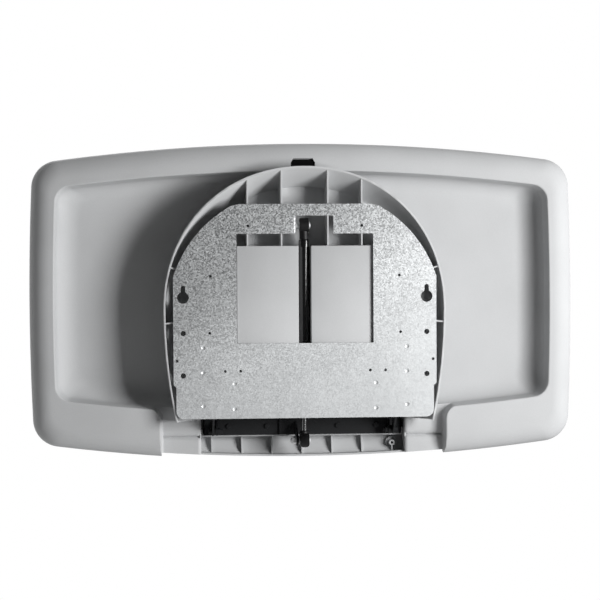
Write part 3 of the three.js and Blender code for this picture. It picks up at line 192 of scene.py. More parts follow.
class StageSettings(bpy.types.PropertyGroup):
    """Light levels and the floor."""

    key_power: FloatProperty(name="Key lamp", description="Power of the soft key lamp", default=15.3)
    room_power: FloatProperty(
        name="Room lamp", description="Power of the lamp on the room side", default=11.7)
    ambient: FloatProperty(
        name="Ambient", description="Strength of the light from the camera's side", default=0.026)
    backdrop: FloatProperty(
        name="Backdrop", description="Strength of the light from the white backdrop", default=0.78)
    studio_gloss: FloatProperty(
        name="Studio gloss", description="What polished metal sees on the camera's side", default=0.065)
    floor_drop: length_setting("Floor drop", "How far the floor lies below the lower wall bolts", 1050.0)


# Grids and solids. A shape is a pair: points (n, 3) in (x, depth, z), and a list of faces.

def stacked(*columns):
    """Columns of numbers side by side, as points. A single number fills its column."""
    return np.stack(np.broadcast_arrays(*columns), axis=-1)


def quads(rows, columns, wrap=False):
    """Corner numbers of a grid's quads, row by row. wrap joins the last column to the first."""
    row = np.arange(rows - 1)[:, None]
    column = np.arange(columns if wrap else columns - 1)[None, :]
    following = (column + 1) % columns
    corners = [row * columns + column, row * columns + following,
               (row + 1) * columns + following, (row + 1) * columns + column]
    return stacked(*corners).reshape(-1, 4)


def together(*shapes):
    """Several shapes as one."""
    points, faces, start = [], [], 0
    for shape_points, shape_faces in shapes:
        points.append(shape_points)
        faces += [[start + int(corner) for corner in face] for face in shape_faces]
        start += len(shape_points)
    return np.concatenate(points), faces


def slab(grid, push):
    """A closed plate: a grid of points (rows, columns, 3), the same grid moved by push, and a wall
    round the four edges between them. push is one step, or a step for each point."""
    rows, columns = grid.shape[:2]
    near = grid.reshape(-1, 3)
    count = len(near)
    top = quads(rows, columns)
    rim = np.concatenate([
        np.arange(columns), np.arange(1, rows) * columns + columns - 1,
        (rows - 1) * columns + np.arange(columns - 2, -1, -1), np.arange(rows - 2, 0, -1) * columns])
    after = np.roll(rim, -1)
    wall = stacked(rim, after, after + count, rim + count)
    faces = np.concatenate([top[:, ::-1], top + count, wall])
    return np.concatenate([near, near + np.reshape(push, (-1, 3))]), faces.tolist()


def block(x0, x1, depth0, depth1, z0, z1):
    """A box between two values of x, of depth and of z."""
    corners = np.array([[[x0, depth0, z0], [x1, depth0, z0]], [[x0, depth0, z1], [x1, depth0, z1]]])
    return slab(corners, (0, depth1 - depth0, 0))


def strip_between(curve_a, curve_b):
    """A ruled grid: straight lines from each point of one curve to the same point of another."""
    share = np.array([0.0, 1.0])[None, :, None]
    return curve_a[:, None, :] * (1 - share) + curve_b[:, None, :] * share


def turned(profile, origin, way=(0, 1, 0), sides=32):
    """A turned solid: a closed loop of (radius, distance along the axis) swept round the axis, so
    point = origin + way * distance + radius * (a cos t + b sin t)."""
    radius, along = np.asarray(profile, dtype=float).T
    way = np.asarray(way, dtype=float)
    helper = np.array([1.0, 0, 0]) if abs(way[0]) < 0.9 else np.array([0, 1.0, 0])
    a = np.cross(way, helper)
    a /= np.linalg.norm(a)
    b = np.cross(way, a)
    angle = np.linspace(0, 2 * np.pi, sides, endpoint=False)[None, :, None]
    ring = a * np.cos(angle) + b * np.sin(angle)
    points = np.asarray(origin) + way * along[:, None, None] + ring * radius[:, None, None]
    rows = len(radius)
    faces = quads(rows + 1, sides, wrap=True) % (rows * sides)
    return points.reshape(-1, 3), faces.tolist()


def smooth_max(a, b, width):
    """The larger of two heights, rounded over where they come within width of each other."""
    share = np.clip(0.5 + 0.5 * (a - b) / width, 0, 1)
    return b + (a - b) * share + width * share * (1 - share)


def quarter(steps):
    """Angles of a quarter turn, both ends included."""
    return np.linspace(0, np.pi / 2, steps + 1)


# The bed's outline. Stations are the places of x where its rings have points.

CROWN_STEPS, CREASE_ROW, COVER_STEPS, RIM_SPLIT = 14, 15, 22, 0.55
LOW_STATIONS = np.concatenate([
    np.arange(0, 160, 20), [160, 166, 172, 178, 186, 196, 206, 216, 224, 229],
    np.arange(232, 238, 1.25), [RELIEF_HALF_WIDTH - 0.1, RELIEF_HALF_WIDTH + 0.1],
    np.arange(239.5, 264, 1.25), [265, 269, 275, 283, 292, 300]])
TOP_STATIONS = np.array([36, 28, 20.4, 20.0, 14, 7, 0.0])


def corner_centre(side_centre, side_radius, end_centre, end_radius, up):
    """Where two circles round given centres meet, on the right and above or below the middle."""
    span = end_centre - side_centre
    distance = np.linalg.norm(span)
    along = (side_radius**2 - end_radius**2 + distance**2) / (2 * distance)
    across = math.sqrt(side_radius**2 - along**2)
    unit = span / distance
    normal = np.array([unit[1], -unit[0]])
    foot = side_centre + unit * along
    places = [foot + normal * across, foot - normal * across]
    return next(p for p in places if p[0] > 0 and (p[1] - BED_MID) * up > 0)


def bed_ring(side, top, bottom, radius):
    """The bed's outline as a closed loop (n, 2): bowed bottom, corner, bowed side, corner and bowed
    top, each side set in by its own amount, then the same mirrored. Every ring has the same number
    of points, and along the bottom they stand at the same x."""
    low_centre = np.array([0.0, BED_BOTTOM + TOP_BOW_RADIUS])
    top_centre = np.array([0.0, BED_TOP - TOP_BOW_RADIUS])
    side_centre = np.array([BED_HALF_WIDTH - SIDE_BOW_RADIUS, BED_MID])
    low_radius, top_radius = TOP_BOW_RADIUS - bottom, TOP_BOW_RADIUS - top
    side_radius = SIDE_BOW_RADIUS - side
    lower = corner_centre(side_centre, side_radius - radius, low_centre, low_radius - radius, -1)
    upper = corner_centre(side_centre, side_radius - radius, top_centre, top_radius - radius, 1)

    def bearing(centre, point):
        return math.atan2(point[1] - centre[1], point[0] - centre[0])

    def arc(centre, arc_radius, start, end, steps):
        angle = np.linspace(start, end, steps + 1)[1:]
        return centre + arc_radius * stacked(np.cos(angle), np.sin(angle))

    low_end, side_start = bearing(low_centre, lower), bearing(side_centre, lower)
    side_end, top_start = bearing(side_centre, upper), bearing(top_centre, upper)
    low_touch, top_touch = low_radius * math.cos(low_end), top_radius * math.cos(top_start)
    low_x = np.concatenate([LOW_STATIONS, np.linspace(LOW_STATIONS[-1], low_touch, 7)[1:]])
    top_x = np.concatenate([np.linspace(top_touch, TOP_STATIONS[0], 25)[1:], TOP_STATIONS[1:]])
    half = np.concatenate([
        stacked(low_x, low_centre[1] - np.sqrt(low_radius**2 - low_x**2)),
        arc(lower, radius, low_end, side_start, 14),
        arc(side_centre, side_radius, side_start, side_end, 28),
        arc(upper, radius, side_end, top_start, 14),
        stacked(top_x, top_centre[1] + np.sqrt(top_radius**2 - top_x**2))])
    return np.concatenate([half, half[1:-1][::-1] * [-1, 1]])


def ring_grid(rings):
    """Rings as a grid (rows, columns, 3). Each ring is (side, top, bottom, radius, depth)."""
    return np.array([np.insert(bed_ring(*ring[:4]), 1, ring[4], axis=1) for ring in rings])


def crown_rings(crown, edge_depth, flat_depth, steps):
    """Rings of a quarter ellipse from the bed's edge to a flat face: inset = crown (1 - cos a) and
    depth = edge + (flat - edge) sin a."""
    rings = []
    for angle in quarter(steps):
        inset = crown * (1 - math.cos(angle))
        depth = edge_depth + (flat_depth - edge_depth) * math.sin(angle)
        rings.append((inset, inset, inset, BED_CORNER - CORNER_LOSS * inset, depth))
    return rings


def low_edge(x, inset=0.0):
    """Height of the bed's lower edge at x, set in by an amount."""
    return BED_BOTTOM + TOP_BOW_RADIUS - np.sqrt((TOP_BOW_RADIUS - inset) ** 2 - np.square(x))


def relieved(grid):
    """A grid of rings with the lower edge drawn in along the hinge side."""
    x, z = grid[..., 0], grid[..., 2]
    lip = np.where((np.abs(x) < RELIEF_HALF_WIDTH) & (z < BED_MID), low_edge(x, LIP_RELIEF), z)
    return stacked(x, grid[..., 1], np.maximum(z, lip))


def cover_depth(x, z, wall):
    """Depth of the cover's inner face below the hinge bay: a quarter ellipse in depth and z."""
    share = np.clip(1 - (z - low_edge(x) - wall) / (COVER_CROWN - wall), 0, 1)
    return COVER_EDGE + (BED_FRONT - wall - COVER_EDGE) * np.sqrt(1 - share**2)


def cover_height(x, depth, wall):
    """Height of the same face at a depth, above the relief of the lower edge."""
    share = np.clip((depth - COVER_EDGE) / (BED_FRONT - wall - COVER_EDGE), 0, 1)
    rise = wall + (COVER_CROWN - wall) * (1 - np.sqrt(1 - share**2))
    return low_edge(x) + np.maximum(rise, LIP_RELIEF + wall)


def bay_web(x, thickness, foot, head, foot_depth, head_depth, wall):
    """An upright web in the hinge bay from x on: its rear edge is a straight line from foot to head,
    and its front edge follows the cover's inner face."""
    z = np.linspace(foot, head, 17)
    rear = stacked(x, np.linspace(foot_depth, head_depth, 17), z)
    front = stacked(x, cover_depth(x, z, wall - ROOTED), z)
    return slab(strip_between(rear, front), (thickness, 0, 0))


def tray_rings(edge):
    """Rings of the tray from its parting edge to its floor: a quarter ellipse up to the rim, the flat
    rim, a rounded edge, a drafted wall and a quarter ellipse down to the floor."""
    recess = np.array([RECESS_SIDE, RECESS_TOP, RECESS_BOTTOM])
    runs = np.array([FLOOR_SIDE_RUN, FLOOR_TOP_RUN, FLOOR_BOTTOM_RUN]) - RECESS_DRAFT
    crown = crown_rings(RIM_CROWN, PARTING, RIM_DEPTH, CROWN_STEPS)
    shares = np.concatenate([np.linspace(0, RIM_SPLIT, 9)[1:], np.linspace(RIM_SPLIT, 1, 17)[1:]])
    start, end = np.array(crown[-1]), np.array([*(recess - edge), RECESS_CORNER, RIM_DEPTH])
    rim = [tuple(start + (end - start) * share) for share in shares]
    turn = np.linspace(0, math.radians(RIM_TURN), 6)[1:]
    wall = [(-edge + edge * math.sin(t), RIM_DEPTH + edge * (1 - math.cos(t))) for t in turn]
    run, drop = RECESS_DRAFT - wall[-1][0], RECESS_WALL_END - wall[-1][1]
    wall += [(wall[-1][0] + run * s, wall[-1][1] + drop * s) for s in np.linspace(0, 1, 7)[1:]]
    walls = [(*(recess + inset), RECESS_CORNER, depth) for inset, depth in wall]
    bowl = [(*(recess + RECESS_DRAFT + runs * (1 - math.cos(angle))), RECESS_CORNER,
             RECESS_WALL_END + (RECESS_FLOOR - RECESS_WALL_END) * math.sin(angle))
            for angle in quarter(16)[1:]]
    return crown + rim + walls + bowl, len(crown) + len(rim) - 1


def notch_depth(x, z):
    """Depth of the notch in the rim at a point: drafted walls round a plan with rounded corners, down
    to a floor that bulges by 1 - (2 s - 1)^4 on each side of a grooved crease."""
    aside = np.abs(x)
    arc_x = NOTCH_HALF_WIDTH + NOTCH_RADIUS
    arc_z = low_edge(arc_x) + RECESS_BOTTOM - NOTCH_RADIUS
    past_arc = np.hypot(aside - arc_x, z - arc_z) - NOTCH_RADIUS
    beside = np.where(aside < arc_x, past_arc, FAR_OUTSIDE)
    inside = np.where(z < arc_z, NOTCH_HALF_WIDTH - aside, beside)
    wall = RIM_DEPTH + (inside - NOTCH_START) * (PARTING + NOTCH_PAST - RIM_DEPTH) / NOTCH_DRAFT
    upper = np.clip((SHOULDER_TOP - z) / (SHOULDER_TOP - LIP_CREASE), 0, 1)
    lower = np.clip((LIP_CREASE - z) / (LIP_CREASE - BED_BOTTOM), 0, 1)
    bulge = 1 - (2 * np.where(z > LIP_CREASE, upper, lower) - 1) ** 4
    groove = np.where(np.abs(z - LIP_CREASE) < 0.5, CREASE_GROOVE, 0)
    return -smooth_max(-wall, SHOULDER_BULGE * bulge - BAY_FLOOR - groove, NOTCH_BLEND)


def bent_row(x, z, row, height, half_width, blend):
    """Heights with one row of the grid brought to a level line along the hinge side. Its neighbours
    give way over the blend, and so do the points past half_width."""
    line = np.where(z[row] < BED_MID, z[row], 1e6)[None, :]
    near = np.clip(1 - np.abs(z - line) / blend, 0, 1)
    across = np.clip((half_width + blend - np.abs(x)) / blend, 0, 1)
    return z + np.where(z < BED_MID, near * across * (height - np.minimum(line, BED_MID)), 0)


def tray_sheet(edge):
    """The tray's face as an open sheet: the rings, with the rim notched at the hinge side, the bumper's
    pocket sunk at the top and the hinge bay left open."""
    rings, last_rim = tray_rings(edge)
    grid = relieved(ring_grid(rings))
    x, depth, z = (grid[..., i].copy() for i in range(3))
    low = z < BED_MID
    z = bent_row(x, z, last_rim, BAY_TOP, BAY_HALF_WIDTH, BAY_BLEND)
    z = bent_row(x, z, CREASE_ROW, LIP_CREASE, NOTCH_HALF_WIDTH, CREASE_BLEND)
    notch = np.where(low & (np.abs(x) < NOTCH_HALF_WIDTH + NOTCH_RADIUS), notch_depth(x, z), -1e3)
    depth = np.where(notch > depth - 4, smooth_max(depth, notch, NOTCH_BLEND), depth)
    pocket = (np.abs(x) <= BUMPER_HALF_WIDTH + 0.1) & (z < BUMPER_TOP) & (z > BED_MID)
    pocket_side = (np.abs(np.abs(x) - BUMPER_HALF_WIDTH - 0.2) < 0.3) & (z > BED_MID)
    drawn_in = BUMPER_CORNER * np.clip(1 - (BUMPER_TOP - z) / BUMPER_CORNER, 0, 1)
    x = np.where(pocket_side, x - np.sign(x) * drawn_in, x)
    depth = np.where(pocket, np.maximum(depth, BUMPER_FLOOR), depth)
    rows, columns = x.shape
    points = stacked(x, depth, z).reshape(-1, 3)
    faces = quads(rows, columns, wrap=True)
    corner_x, corner_z = np.abs(points[faces, 0]), points[faces, 2]
    bay = ((corner_x <= BAY_HALF_WIDTH + 0.01) & (corner_z <= BAY_TOP + 0.01)).all(axis=1)
    floor = (rows - 1) * columns + np.arange(columns)
    used = np.unique(faces[~bay])
    kept = np.searchsorted(used, faces[~bay]).tolist()
    return points[used], kept + [np.searchsorted(used, floor).tolist()]


def chassis_level(side, top, depth):
    """The chassis outline set in at its sides and top, as an open curve from the foot of the right leg
    over the arch to the foot of the left one: parabolic legs and a half superellipse."""
    half, rise = CHASSIS_HALF - side, CHASSIS_RISE - top
    below = np.linspace(CHASSIS_MID - CHASSIS_BOTTOM, 0, 17)[:-1]
    leg = stacked(half - below**2 / (2 * FLANK_RADIUS), CHASSIS_MID - below)
    angle = np.linspace(0, np.pi, 97)
    across = np.sign(np.cos(angle)) * np.abs(np.cos(angle)) ** (2 / ARCH_POWER)
    up = np.abs(np.sin(angle)) ** (2 / ARCH_POWER)
    outline = np.concatenate([
        leg, stacked(half * across, CHASSIS_MID + rise * up), leg[::-1] * [-1, 1]])
    return np.insert(outline, 1, depth, axis=1)


def chassis_side(angle, wall):
    """Insets at the flank and at the arch's top, and depth, of the chassis's side at an angle, a wall
    further in. The top flares towards the room's wall: inset = c (1 - cos^k a), depth = d sin^k a,
    hollow as k is above 2. The flanks are a quarter ellipse over the same depths."""
    share = np.sin(angle) ** FLARE_POWER
    flank = wall + (FLANK_CROWN - wall) * (1 - np.sqrt(np.maximum(1 - share**2, 0)))
    top = wall + (ARCH_FLARE - wall) * (1 - np.abs(np.cos(angle)) ** FLARE_POWER)
    return flank, top, CHASSIS_REAR + (CHASSIS_FRONT - wall - CHASSIS_REAR) * share


def chassis_shell(wall):
    """The chassis as a closed shell: the flat front, the side out to the room's wall, and the same way
    back inside. The foot closes it."""
    front = [(FLANK_CROWN + far, ARCH_FLARE + far) for far in np.linspace(FRONT_REACH, 0, 8)[:-1]]
    outer = [(*insets, CHASSIS_FRONT) for insets in front]
    outer += [chassis_side(angle, 0.0) for angle in quarter(24)[::-1]]
    inner = [chassis_side(angle, wall) for angle in quarter(24)]
    inner += [(*insets, CHASSIS_FRONT - wall) for insets in front[::-1]]
    grid = np.array([chassis_level(*place) for place in outer + inner])
    count, columns = grid.shape[:2]
    index = np.arange(count * columns).reshape(count, columns)
    foot = np.concatenate([index[:, 0], index[::-1, -1]])
    faces = quads(count, columns).tolist() + [index[0].tolist(), index[-1].tolist(), foot.tolist()]
    return grid.reshape(-1, 3), faces


# Pieces.

FINISHES = {}


def mesh_of(name, shape, inside=None):
    """A mesh in metres from a shape in millimetres, with doubles merged. A closed shape's faces turn
    outwards, and an open sheet's face away from the point inside."""
    points, faces = shape
    mesh = bpy.data.meshes.new(name)
    placed = np.asarray(points) * [MM, -MM, MM]
    mesh.from_pydata(placed.tolist(), [], [list(face) for face in faces])
    work = bmesh.new()
    work.from_mesh(mesh)
    bmesh.ops.remove_doubles(work, verts=work.verts, dist=1e-6)
    bmesh.ops.dissolve_degenerate(work, edges=work.edges, dist=1e-7)
    bmesh.ops.recalc_face_normals(work, faces=work.faces)
    if inside is not None:
        heart = Vector(inside) * MM
        outward = sum(face.calc_area() * face.normal.dot(face.calc_center_median() - heart)
                      for face in work.faces)
        if outward < 0:
            bmesh.ops.reverse_faces(work, faces=work.faces)
    work.to_mesh(mesh)
    work.free()
    return mesh


def smooth(mesh, crease):
    """Shades a mesh smooth up to crease, in degrees."""
    mesh.shade_smooth()
    mesh.set_sharp_from_angle(angle=math.radians(crease))


def soften(piece, width, angle=40.0):
    """A small bevel on the edges sharper than angle."""
    bevel = piece.modifiers.new("Soft edges", "BEVEL")
    bevel.width = width
    bevel.segments = 2
    bevel.limit_method = "ANGLE"
    bevel.angle_limit = math.radians(angle)
    bevel.harden_normals = True


def finish_piece(mesh, finish, body, nodes, crease=CREASE):
    """An object for a mesh, with its finish, riding on a body in place of CAD nodes."""
    smooth(mesh, crease)
    mesh.materials.clear()
    mesh.materials.append(FINISHES[finish])
    piece = bpy.data.objects.new(mesh.name, mesh)
    bpy.context.scene.collection.objects.link(piece)
    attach(piece, body)
    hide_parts(*nodes)
    return piece


def ribbing(name, shapes, body, node, edge):
    """Ribs, webs and bosses of the grey plastic as one piece with soft edges."""
    piece = finish_piece(mesh_of(name, together(*shapes)), "plastic", body, [node])
    soften(piece, edge)


def softened_node(node, finish, body, width, crease=CREASE, split=True):
    """A copy of a CAD node with its flat faces whole again, or split into convex parts, and its edges
    softened."""
    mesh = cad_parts[node].data.copy()
    mesh.name = node + "_finished"
    work = bmesh.new()
    work.from_mesh(mesh)
    bmesh.ops.remove_doubles(work, verts=work.verts, dist=2e-6)
    bmesh.ops.dissolve_limit(
        work, angle_limit=math.radians(0.5), verts=work.verts, edges=work.edges, delimit=set())
    if split:
        bmesh.ops.connect_verts_concave(work, faces=work.faces)
    work.to_mesh(mesh)
    work.free()
    piece = finish_piece(mesh, finish, body, [node], crease)
    if width:
        soften(piece, width, angle=50.0)
    return piece


def thicken(piece, wall):
    """Gives an open sheet its wall, on the side away from its face."""
    solid = piece.modifiers.new("Wall", "SOLIDIFY")
    solid.thickness = wall
    solid.offset = -1.0
    solid.use_even_offset = True
    solid.thickness_clamp = 1.0


def carve(piece, shape, crease):
    """Cuts a closed shape out of a piece for good, with its modifiers applied, and smooths it again."""
    cutter = bpy.data.objects.new("cutter", mesh_of("cutter", shape))
    bpy.context.scene.collection.objects.link(cutter)
    cutting = piece.modifiers.new("Cut", "BOOLEAN")
    cutting.operation = "DIFFERENCE"
    cutting.solver = "EXACT"
    cutting.object = cutter
    applied = bpy.data.meshes.new_from_object(
        piece.evaluated_get(bpy.context.evaluated_depsgraph_get()))
    applied.name = piece.name
    piece.modifiers.clear()
    piece.data = applied
    cutter_mesh = cutter.data
    bpy.data.objects.remove(cutter)
    bpy.data.meshes.remove(cutter_mesh)
    smooth(piece.data, crease)


# Finishes. The helpers below give a (node, socket) pair, which an input takes as a link.

def add(tree, kind, inputs=None, **settings):
    """Adds a node with its settings. An input is a value, or a (node, socket) pair to link."""
    node = tree.nodes.new(kind)
    for key, value in settings.items():
        setattr(node, key, value)
    for key, value in (inputs or {}).items():
        if isinstance(value, tuple) and isinstance(value[0], bpy.types.Node):
            tree.links.new(value[0].outputs[value[1]], node.inputs[key])
        else:
            node.inputs[key].default_value = value
    return node


def new_material(name):
    """An empty node material, its tree, and Object coordinates."""
    material = bpy.data.materials.new(name)
    material.use_nodes = True
    tree = material.node_tree
    tree.nodes.clear()
    return material, tree, (add(tree, "ShaderNodeTexCoord"), "Object")


def per_mm(size):
    """Texture scale for a pattern whose features are size millimetres apart."""
    return 1.0 / (size * MM)


def noise(tree, place, size, detail, roughness=0.5):
    """Noise with features about size millimetres apart."""
    return add(tree, "ShaderNodeTexNoise", {
        "Vector": place, "Scale": per_mm(size), "Detail": detail, "Roughness": roughness}), "Fac"


def ranged(tree, value, low, high, start=0.3, end=0.7, **settings):
    """A value from start to end, mapped to low to high. Noise lies mostly between 0.3 and 0.7."""
    return add(tree, "ShaderNodeMapRange", {
        "Value": value, "From Min": start, "From Max": end, "To Min": low, "To Max": high},
        **settings), "Result"


def maths(tree, operation, *values):
    """A sum, a product or the like."""
    return add(tree, "ShaderNodeMath", dict(enumerate(values)), operation=operation), "Value"


def shaded(tree, colour, level):
    """A colour times a level."""
    return add(tree, "ShaderNodeVectorMath", {
        0: tuple(colour[:3]), "Scale": level}, operation="SCALE"), "Vector"


def bumped(tree, height, strength, distance):
    """A bump whose height is given in millimetres."""
    return add(tree, "ShaderNodeBump", {
        "Height": height, "Strength": strength, "Distance": distance * MM}), "Normal"


def skinned(material, tree, inputs):
    """The material, with a Principled surface that has these inputs."""
    skin = add(tree, "ShaderNodeBsdfPrincipled", inputs)
    add(tree, "ShaderNodeOutputMaterial", {"Surface": (skin, "BSDF")})
    return material


def moulded_polyethylene(colour):
    """Light grey moulded polyethylene: a matt, faintly waxy skin with a fine grain from the tool. The
    real grain is about 0.5 mm and is drawn at 1.8 mm so that it shows."""
    material, tree, place = new_material("moulded grey polyethylene")
    grain = noise(tree, place, 1.8, 2.0, 0.6)
    clouds = noise(tree, place, 90.0, 3.0)
    level = maths(tree, "MULTIPLY", ranged(tree, clouds, 0.96, 1.03), ranged(tree, grain, 0.975, 1.02))
    return skinned(material, tree, {
        "Base Color": shaded(tree, colour, level), "Roughness": ranged(tree, clouds, 0.62, 0.72),
        "Normal": bumped(tree, grain, 0.10, 0.3), "IOR": 1.51, "Specular IOR Level": 0.35})


def galvanised_sheet(colour):
    """Hot-dip galvanised steel: zinc crystals about 1 mm across, each with its own brightness and gloss,
    drawn at 1.9 mm so that they show. They are plainest in one upper corner, and the sheet grows smoother
    and paler towards the opposite lower corner on the key lamp's side: a painted sheen, standing in for
    that lamp's light and reflection on the zinc."""
    material, tree, place = new_material("galvanised steel sheet")
    axes = add(tree, "ShaderNodeSeparateXYZ", {"Vector": place})
    # Painted sheen: the sheet grows paler towards its lower corner on the key lamp's side, standing in for
    # that lamp's light and reflection
    corner = maths(tree, "MULTIPLY_ADD", (axes, "X"), 0.6, (axes, "Z"))
    plain = ranged(tree, corner, 0.0, 1.0, 0.05, 0.30, interpolation_type="SMOOTHSTEP")
    height = maths(tree, "MULTIPLY_ADD", (axes, "X"), 0.4, (axes, "Z"))
    # Painted sheen: the crystals fade towards the same lower corner, as if washed out by the lamp's
    # reflection
    spread = ranged(tree, height, 0.05, 1.5, -0.06, 0.33)
    spangle = add(tree, "ShaderNodeTexVoronoi", {
        "Vector": place, "Scale": per_mm(1.9), "Randomness": 1.0})
    crystal = add(tree, "ShaderNodeSeparateColor", {"Color": (spangle, "Color")})
    shift = maths(tree, "SUBTRACT", (crystal, "Red"), 0.45)
    level = maths(tree, "MULTIPLY_ADD", shift, spread, 1.0)
    painted_sheen_tone = ranged(tree, plain, 1.21, 0.70, 0.0, 1.0)
    grit = ranged(tree, noise(tree, place, 1.4, 2.0, 0.7), 0.90, 1.10)
    drift = ranged(tree, noise(tree, place, 70.0, 3.0), 0.94, 1.04)
    for factor in (painted_sheen_tone, grit, drift):
        level = maths(tree, "MULTIPLY", level, factor)
    return skinned(material, tree, {
        "Base Color": shaded(tree, colour, level), "Metallic": 0.55,
        "Roughness": ranged(tree, (crystal, "Green"), 0.40, 0.58, 0.0, 1.0),
        "Normal": bumped(tree, (crystal, "Blue"), 0.15, 0.15)})


def grained(name, colour, size, detail, rough, bump, inputs):
    """A plain coat whose gloss varies with a grain of size millimetres. bump is the strength and height
    of the same grain as relief, or None."""
    material, tree, place = new_material(name)
    grain = noise(tree, place, size, detail)
    relief = {"Normal": bumped(tree, grain, *bump)} if bump else {}
    return skinned(material, tree, {
        "Base Color": colour, "Roughness": ranged(tree, grain, *rough), **relief, **inputs})


def woven_webbing(colour):
    """Woven nylon webbing: ribs of 1.6 mm along the strap, crossed by picks of 1.2 mm, from the strap's
    own map, which is in metres."""
    material, tree, (coords, _) = new_material("woven black nylon webbing")
    threads = [
        (add(tree, "ShaderNodeTexWave", {
            "Vector": (coords, "UV"), "Scale": per_mm(size) / 20.0, "Distortion": 0.0},
            wave_type="BANDS", bands_direction=way), "Fac")
        for size, way in ((1.6, "X"), (1.2, "Y"))]
    weave = maths(tree, "ADD", *threads)
    return skinned(material, tree, {
        "Base Color": shaded(tree, colour, ranged(tree, weave, 0.55, 1.35, 0.0, 2.0)), "Roughness": 0.8,
        "Normal": bumped(tree, weave, 0.6, 0.3), "Sheen Weight": 0.3})


class STATION_OT_finishes(bpy.types.Operator):
    """Makes every finish of the station"""

    bl_idname = "station.finishes"
    bl_label = "Finishes"

    def execute(self, context):
        colours = context.scene.station_finish
        polymer = {"IOR": 1.53}
        FINISHES.update({
            "plastic": moulded_polyethylene(tuple(colours.grey)),
            "galvanised": galvanised_sheet(tuple(colours.zinc)),
            "webbing": woven_webbing(tuple(colours.webbing)),
            # Satin powder coat with an orange peel of about 1 mm, drawn at 1.6 mm so that it shows
            "powder": grained(
                "black powder-coated steel", tuple(colours.black), 1.6, 2.0, (0.50, 0.68), (0.45, 0.25),
                {"IOR": 1.5, "Specular IOR Level": 0.25}),
            # Gloss enamel on a drawn tube: a clear, narrow highlight with a faint waviness
            "enamel": grained(
                "gloss black enamel", linear("0c0c0d"), 9.0, 1.0, (0.16, 0.24), (0.05, 0.2),
                {"IOR": 1.52, "Coat Weight": 0.5, "Coat Roughness": 0.1}),
            # Zinc plating with a dull bloom, and hard chrome, which is clean
            "zinc": grained(
                "zinc-plated steel", linear("d6d7d8"), 1.4, 3.0, (0.50, 0.64), None, {"Metallic": 0.6}),
            "chrome": grained(
                "hard-chromed rod", linear("9c9d9e"), 3.0, 3.0, (0.13, 0.20), None, {"Metallic": 1.0}),
            # Moulded nylon and rubber: matt skins with a fine spark-eroded grain. The rubber is drawn near
            # black, partly as painted shade for the deep slot in the rim's top that it fills
            "nylon": grained(
                "moulded black nylon", linear("0e0e0f"), 1.2, 2.0, (0.42, 0.58), (0.35, 0.2),
                {**polymer, "Specular IOR Level": 0.25}),
            "rubber": grained(
                "black rubber", linear("050505"), 1.6, 2.0, (0.80, 0.95), (0.35, 0.2),
                {**polymer, "Specular IOR Level": 0.1}),
        })
        return {"FINISHED"}


class STATION_OT_bed_tray(bpy.types.Operator):
    """Makes the tray that holds the changing surface, with the walls of its hinge bay"""

    bl_idname = "station.bed_tray"
    bl_label = "Bed tray"

    def execute(self, context):
        sizes = context.scene.station_moulding
        rib, wall = sizes.rib / MM, sizes.wall / MM
        mesh = mesh_of("bed_tray_moulding", tray_sheet(sizes.rim_edge / MM), inside=(0, -90, BED_MID))
        tray = finish_piece(mesh, "plastic", "bed", ["bed_tray"], BROAD_CREASE)
        thicken(tray, sizes.wall)
        depth = np.linspace(BAY_FLOOR - BAY_OVERLAP, BAY_WALL_END, 17)
        walls = []
        for x in (BAY_HALF_WIDTH, -BAY_HALF_WIDTH - rib):
            foot = stacked(x, depth, cover_height(x, depth, wall + BED_GAP))
            walls.append(slab(strip_between(foot, stacked(x, depth, BAY_TOP + rib)), (rib, 0, 0)))
        half = BAY_HALF_WIDTH + rib / 2
        walls.append(block(-half, half, BAY_FLOOR + BAY_ROOF_INSET, BAY_WALL_END - BAY_ROOF_INSET,
                           BAY_TOP, BAY_TOP + rib - BAY_ROOF_INSET))
        ribbing("hinge_bay_walls", walls, "bed", "bed_tray", sizes.soft_edge)
        return {"FINISHED"}


